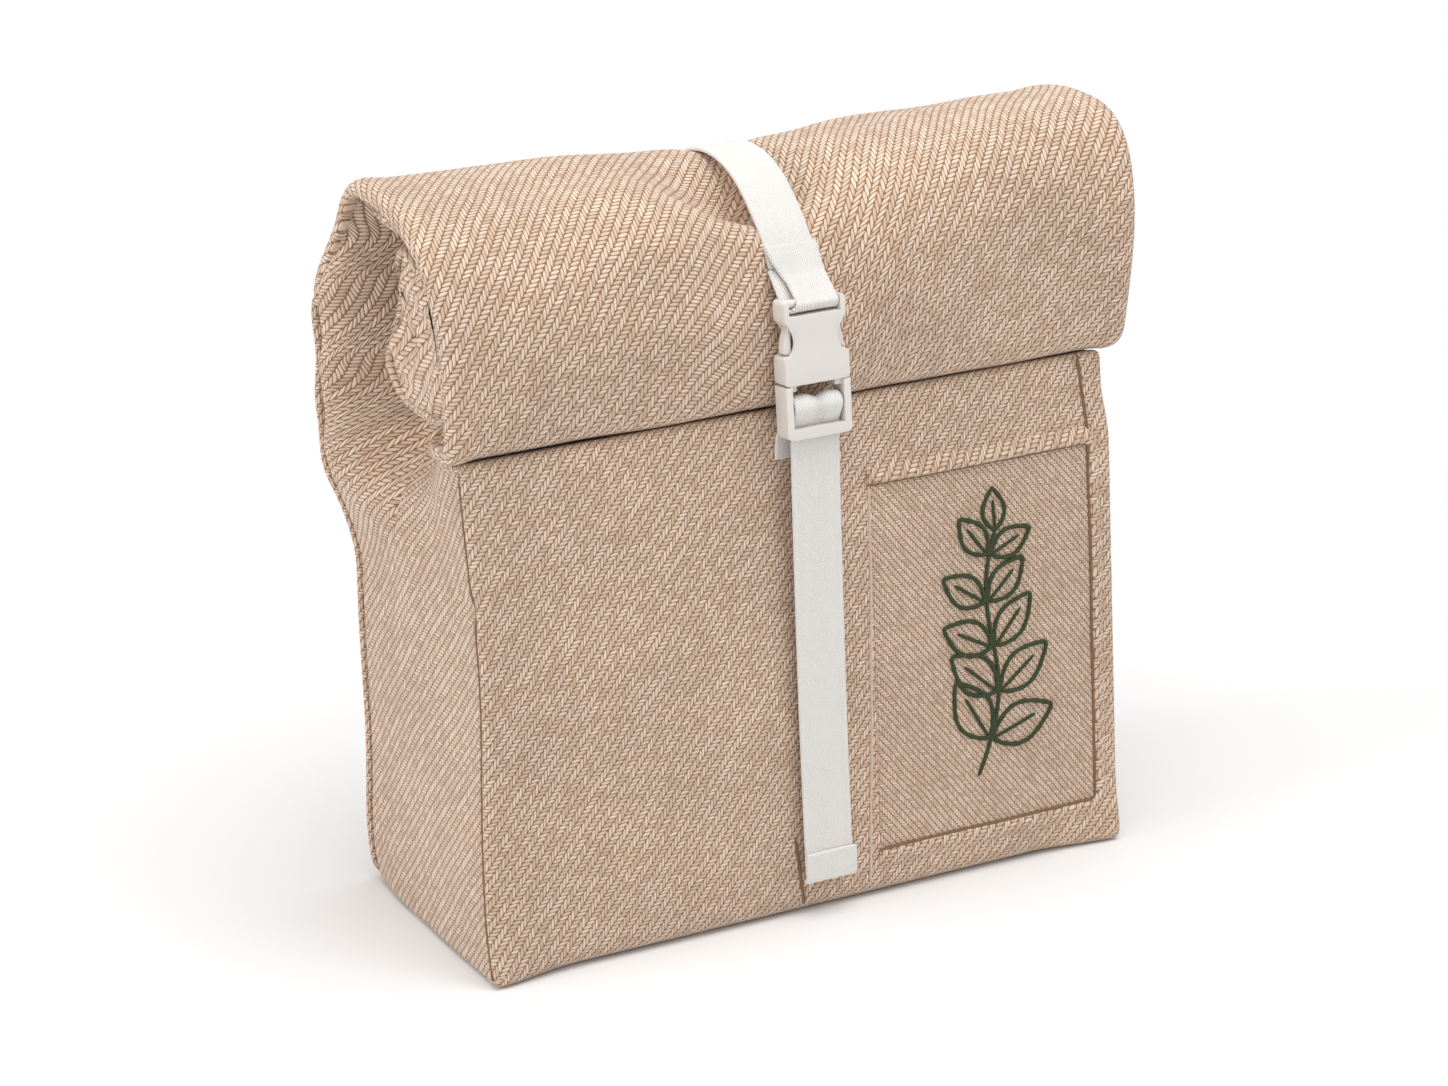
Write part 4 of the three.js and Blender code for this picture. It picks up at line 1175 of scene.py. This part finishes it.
def frontPoint(up):  # on the front of the bag behind the buckle
    z = narrow(60.0, frontTop, lambda height: heightOnBuckle((frontY(height), height))[1] < up, 30)
    spot = onFront(strapX, z, tapeRise)
    return Vector((spot.y, spot.z))


anchorTape = dict(sewn=(-28.5, -20.5), looser=0.3, out=3.6, end=(-15.7, -19.2), slant=2.0)
anchorPoints = [frontPoint(up) for up in anchorTape["sewn"]]
anchorPoints += turnAround(bar["ladderUp"], bar["radius"] + anchorTape["looser"], 192, 0)
anchorPoints += [onBuckle(anchorTape["out"], up) for up in anchorTape["end"]]
tapeAlong(
    "anchor_tape", anchorPoints, 48, "bag", "anchor_strap",
    puff=ladderPuff, shift=lambda offset, share: -anchorTape["slant"] * ease(0.5, 0.0, share),
)

tail = dict(top=-19.6, foot=14.0, standOff=3.5, hem=10.0, hemWider=1.4, sway=2.4)
tailTop = onBuckle(anchorTape["out"], tail["top"])
tailFoot = Vector((frontY(tail["foot"]) - tail["standOff"], tail["foot"] + 1.0))
tailDown = (tailFoot - tailTop).normalized()
tailOut = outOf(tailDown)
layer = strap["thickness"] + 0.15
hemPoints = [tailFoot + tailOut * layer - tailDown * tail["hem"], tailFoot + tailOut * layer]
for i in range(1, 7):
    turn = math.pi * i / 6
    out = tailOut * layer * (0.5 + 0.5 * math.cos(turn))
    hemPoints.append(tailFoot + out + tailDown * layer * 0.5 * math.sin(turn))
hemPiece = tapeAlong(
    "tail_hem", hemPoints, 22, "tail", None, width=tapeWidth + tail["hemWider"],
    shift=lambda offset, share: tail["sway"],
)
tapeAlong(
    "tail_tape", [tailTop.lerp(tailFoot, i / 10) for i in range(11)], 60,
    "tail", "strap_tail",
    shift=lambda offset, share: tail["sway"] * share**2,
)
print("tapes made")


# buckle pieces: the frame's own solids with softened moulded edges
moulding = dict(edge=0.7, steps=3, sharp=28)
for node, body in (
    ("buckle_socket", "upper_strap"),
    ("plug_frame", "bag"),
    ("left_release_arm", "left_arm"),
    ("right_release_arm", "right_arm"),
):
    bm = bmesh.new()
    bm.from_mesh(frame["nodes"][node].data)
    bmesh.ops.remove_doubles(bm, verts=bm.verts, dist=0.005 * mm)
    bmesh.ops.dissolve_limit(bm, angle_limit=math.radians(1.5), verts=bm.verts, edges=bm.edges)
    sharp = [e for e in bm.edges if e.is_manifold and e.calc_face_angle(0) > math.radians(moulding["sharp"])]
    bmesh.ops.bevel(
        bm, geom=sharp, offset=moulding["edge"] * mm, offset_type="OFFSET", segments=moulding["steps"],
        profile=0.5, affect="EDGES", clamp_overlap=True, material=-1,
    )
    for face in bm.faces:
        face.smooth = True
    addPiece(node + "_moulded", bm, moulded, body, (node,))
print("buckle made")


# lining and base board
liningCloth = dict(cloth=1.2, inside=5.6, corner=5.5, columns=36, rows=64)
sideLiningCloth = dict(cloth=1.2, columns=24, rows=40)
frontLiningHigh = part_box("front_lining")[1] / mm
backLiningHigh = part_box("back_lining")[1] / mm
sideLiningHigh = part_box("right_lining")[1] / mm
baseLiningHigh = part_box("base_lining")[1] / mm
liningIn, liningRound = liningCloth["inside"], liningCloth["corner"]
liningFoot = baseLiningHigh.z + liningRound
liningAt, liningLength = pathThrough(
    [(frontY(z) + liningIn, z) for z in (frontLiningHigh.z, 120, 60, 16)]
    + arcPoints((frontY(10) + liningIn + liningRound, liningFoot), liningRound, 180, 270, 5)
    + arcPoints((backY(10) - liningIn - liningRound, liningFoot), liningRound, 270, 360, 5)
    + [(backY(z) - liningIn, z) for z in (16, 80, 150, backLiningHigh.z)]
)


def liningPoint(across, along):
    x = mix(-1, 1, across) * (sideLiningHigh.x - 0.4)
    spot, way = liningAt(along * liningLength)
    soft = 0.8 * wander((x, spot.x, spot.y), 40) * ease(0, 20, spot.y - baseLiningHigh.z)
    spot = spot + outOf(way) * -max(soft, -0.6)
    return (x, spot.x, spot.y), (x, along * liningLength)


liningReplaced = ("front_lining", "base_lining", "back_lining")
mainLining = sewPiece("main_lining", liningCloth, liningPoint, lining, "bag", liningReplaced)


def sideLiningPoint(side):
    def place(across, along):
        share = across if side > 0 else 1 - across
        y = mix(frontY(100) + liningIn + 1, backY(100) - liningIn - 1, share)
        top = min(gussetTop(y), mix(frontLiningHigh.z, backLiningHigh.z, ease(-6, 50, y))) - 4
        z = mix(baseLiningHigh.z + 1, top, along)
        y = mix(frontY(min(z, frontTop)) + liningIn + 1, backY(z) - liningIn - 1, share)
        x = side * (sideLiningHigh.x - 0.6 - drawnIn(y, z))
        return (x, y, z), (side * y, z)

    return place


for side, name in sides:
    piece = sewPiece(
        name + "_side_lining", sideLiningCloth, sideLiningPoint(side), lining, "bag", (name + "_lining",),
    )
frame["nodes"]["base_board"].data.materials.clear()
frame["nodes"]["base_board"].data.materials.append(board)
print("lining made")


# floor, light and camera
studio = dict(floorSize=8.0, clearFrom=0.24, clearTo=0.56, worldLight=0.62)


def floorMaterial():
    material, tree, shader = newMaterial("paleFloor", Roughness=0.9)
    shader.inputs["Specular IOR Level"].default_value = 0.0
    shader.inputs["Base Color"].default_value = (0.86, 0.86, 0.86, 1)
    where = addNode(tree, "TexCoord")
    far = addNode(tree, "VectorMath", where.outputs["Object"], operation="LENGTH")
    clear = addNode(
        tree, "MapRange", far.outputs["Value"], studio["clearFrom"], studio["clearTo"], 0.0, 1.0,
        interpolation_type="SMOOTHSTEP",
    )
    light = addNode(tree, "LightPath")
    seen = calc(tree, "MULTIPLY", clear.outputs[0], light.outputs["Is Camera Ray"])
    white = addNode(tree, "Emission", (1, 1, 1, 1), 1.0)
    both = addNode(tree, "MixShader", seen, shader.outputs[0], white.outputs[0])
    tree.links.new(both.outputs[0], tree.nodes["Material Output"].inputs["Surface"])
    return material


floorMesh = bmesh.new()
bmesh.ops.create_grid(floorMesh, x_segments=1, y_segments=1, size=studio["floorSize"] / 2)
bmesh.ops.translate(floorMesh, verts=floorMesh.verts, vec=(0, 0, -0.2 * mm))
floor = addPiece("floor", floorMesh, floorMaterial())

world = bpy.data.worlds.new("studio")
bpy.context.scene.world = world
world.use_nodes = True
sky = world.node_tree
light = addNode(sky, "LightPath")
seen = calc(sky, "MAXIMUM", light.outputs["Is Camera Ray"], light.outputs["Is Glossy Ray"])
strength = calc(sky, "MULTIPLY_ADD", seen, 1.0 - studio["worldLight"], studio["worldLight"])
sky.nodes["Background"].inputs["Color"].default_value = (1, 1, 1, 1)
sky.links.new(strength, sky.nodes["Background"].inputs["Strength"])


lamps = [  # name, place, aim, size and power
    ("topLight", (0.05, -0.25, 1.65), (0, 0, 0.1), 1.3, 16.5),
    ("leftLight", (-1.75, 0.12, 0.7), (0, 0, 0.12), 1.0, 10.8),
    ("frontLight", (0.9, -1.3, 1.4), (0, 0, 0.12), 1.0, 3.4),
]
for name, place, aim, size, power in lamps:
    lamp = bpy.data.lights.new(name, "AREA")
    lamp.shape = "DISK"
    lamp.size = size
    lamp.energy = power
    holder = bpy.data.objects.new(name, lamp)
    holder.location = place
    holder.rotation_euler = (Vector(aim) - Vector(place)).to_track_quat("-Z", "Y").to_euler()
    bpy.context.scene.collection.objects.link(holder)

view = dict(target=(-7.96, 0.0, 126.99), azimuth=-29.49, elevation=20.45, distance=1595.1, lens=109.39)
camera = bpy.data.objects.new("camera", bpy.data.cameras.new("camera"))
camera.data.sensor_width = 36
camera.data.sensor_fit = "HORIZONTAL"
camera.data.lens = view["lens"]
turn, tip = math.radians(view["azimuth"]), math.radians(view["elevation"])
target = Vector(view["target"])
away = Vector((math.sin(turn) * math.cos(tip), -math.cos(turn) * math.cos(tip), math.sin(tip)))
camera.location = (target + away * view["distance"]) * mm
camera.rotation_euler = (-away).to_track_quat("-Z", "Y").to_euler()
camera.data.clip_end = 50
bpy.context.scene.collection.objects.link(camera)
bpy.context.scene.camera = camera
bpy.context.scene.view_settings.view_transform = "Standard"
print("stage and camera set")
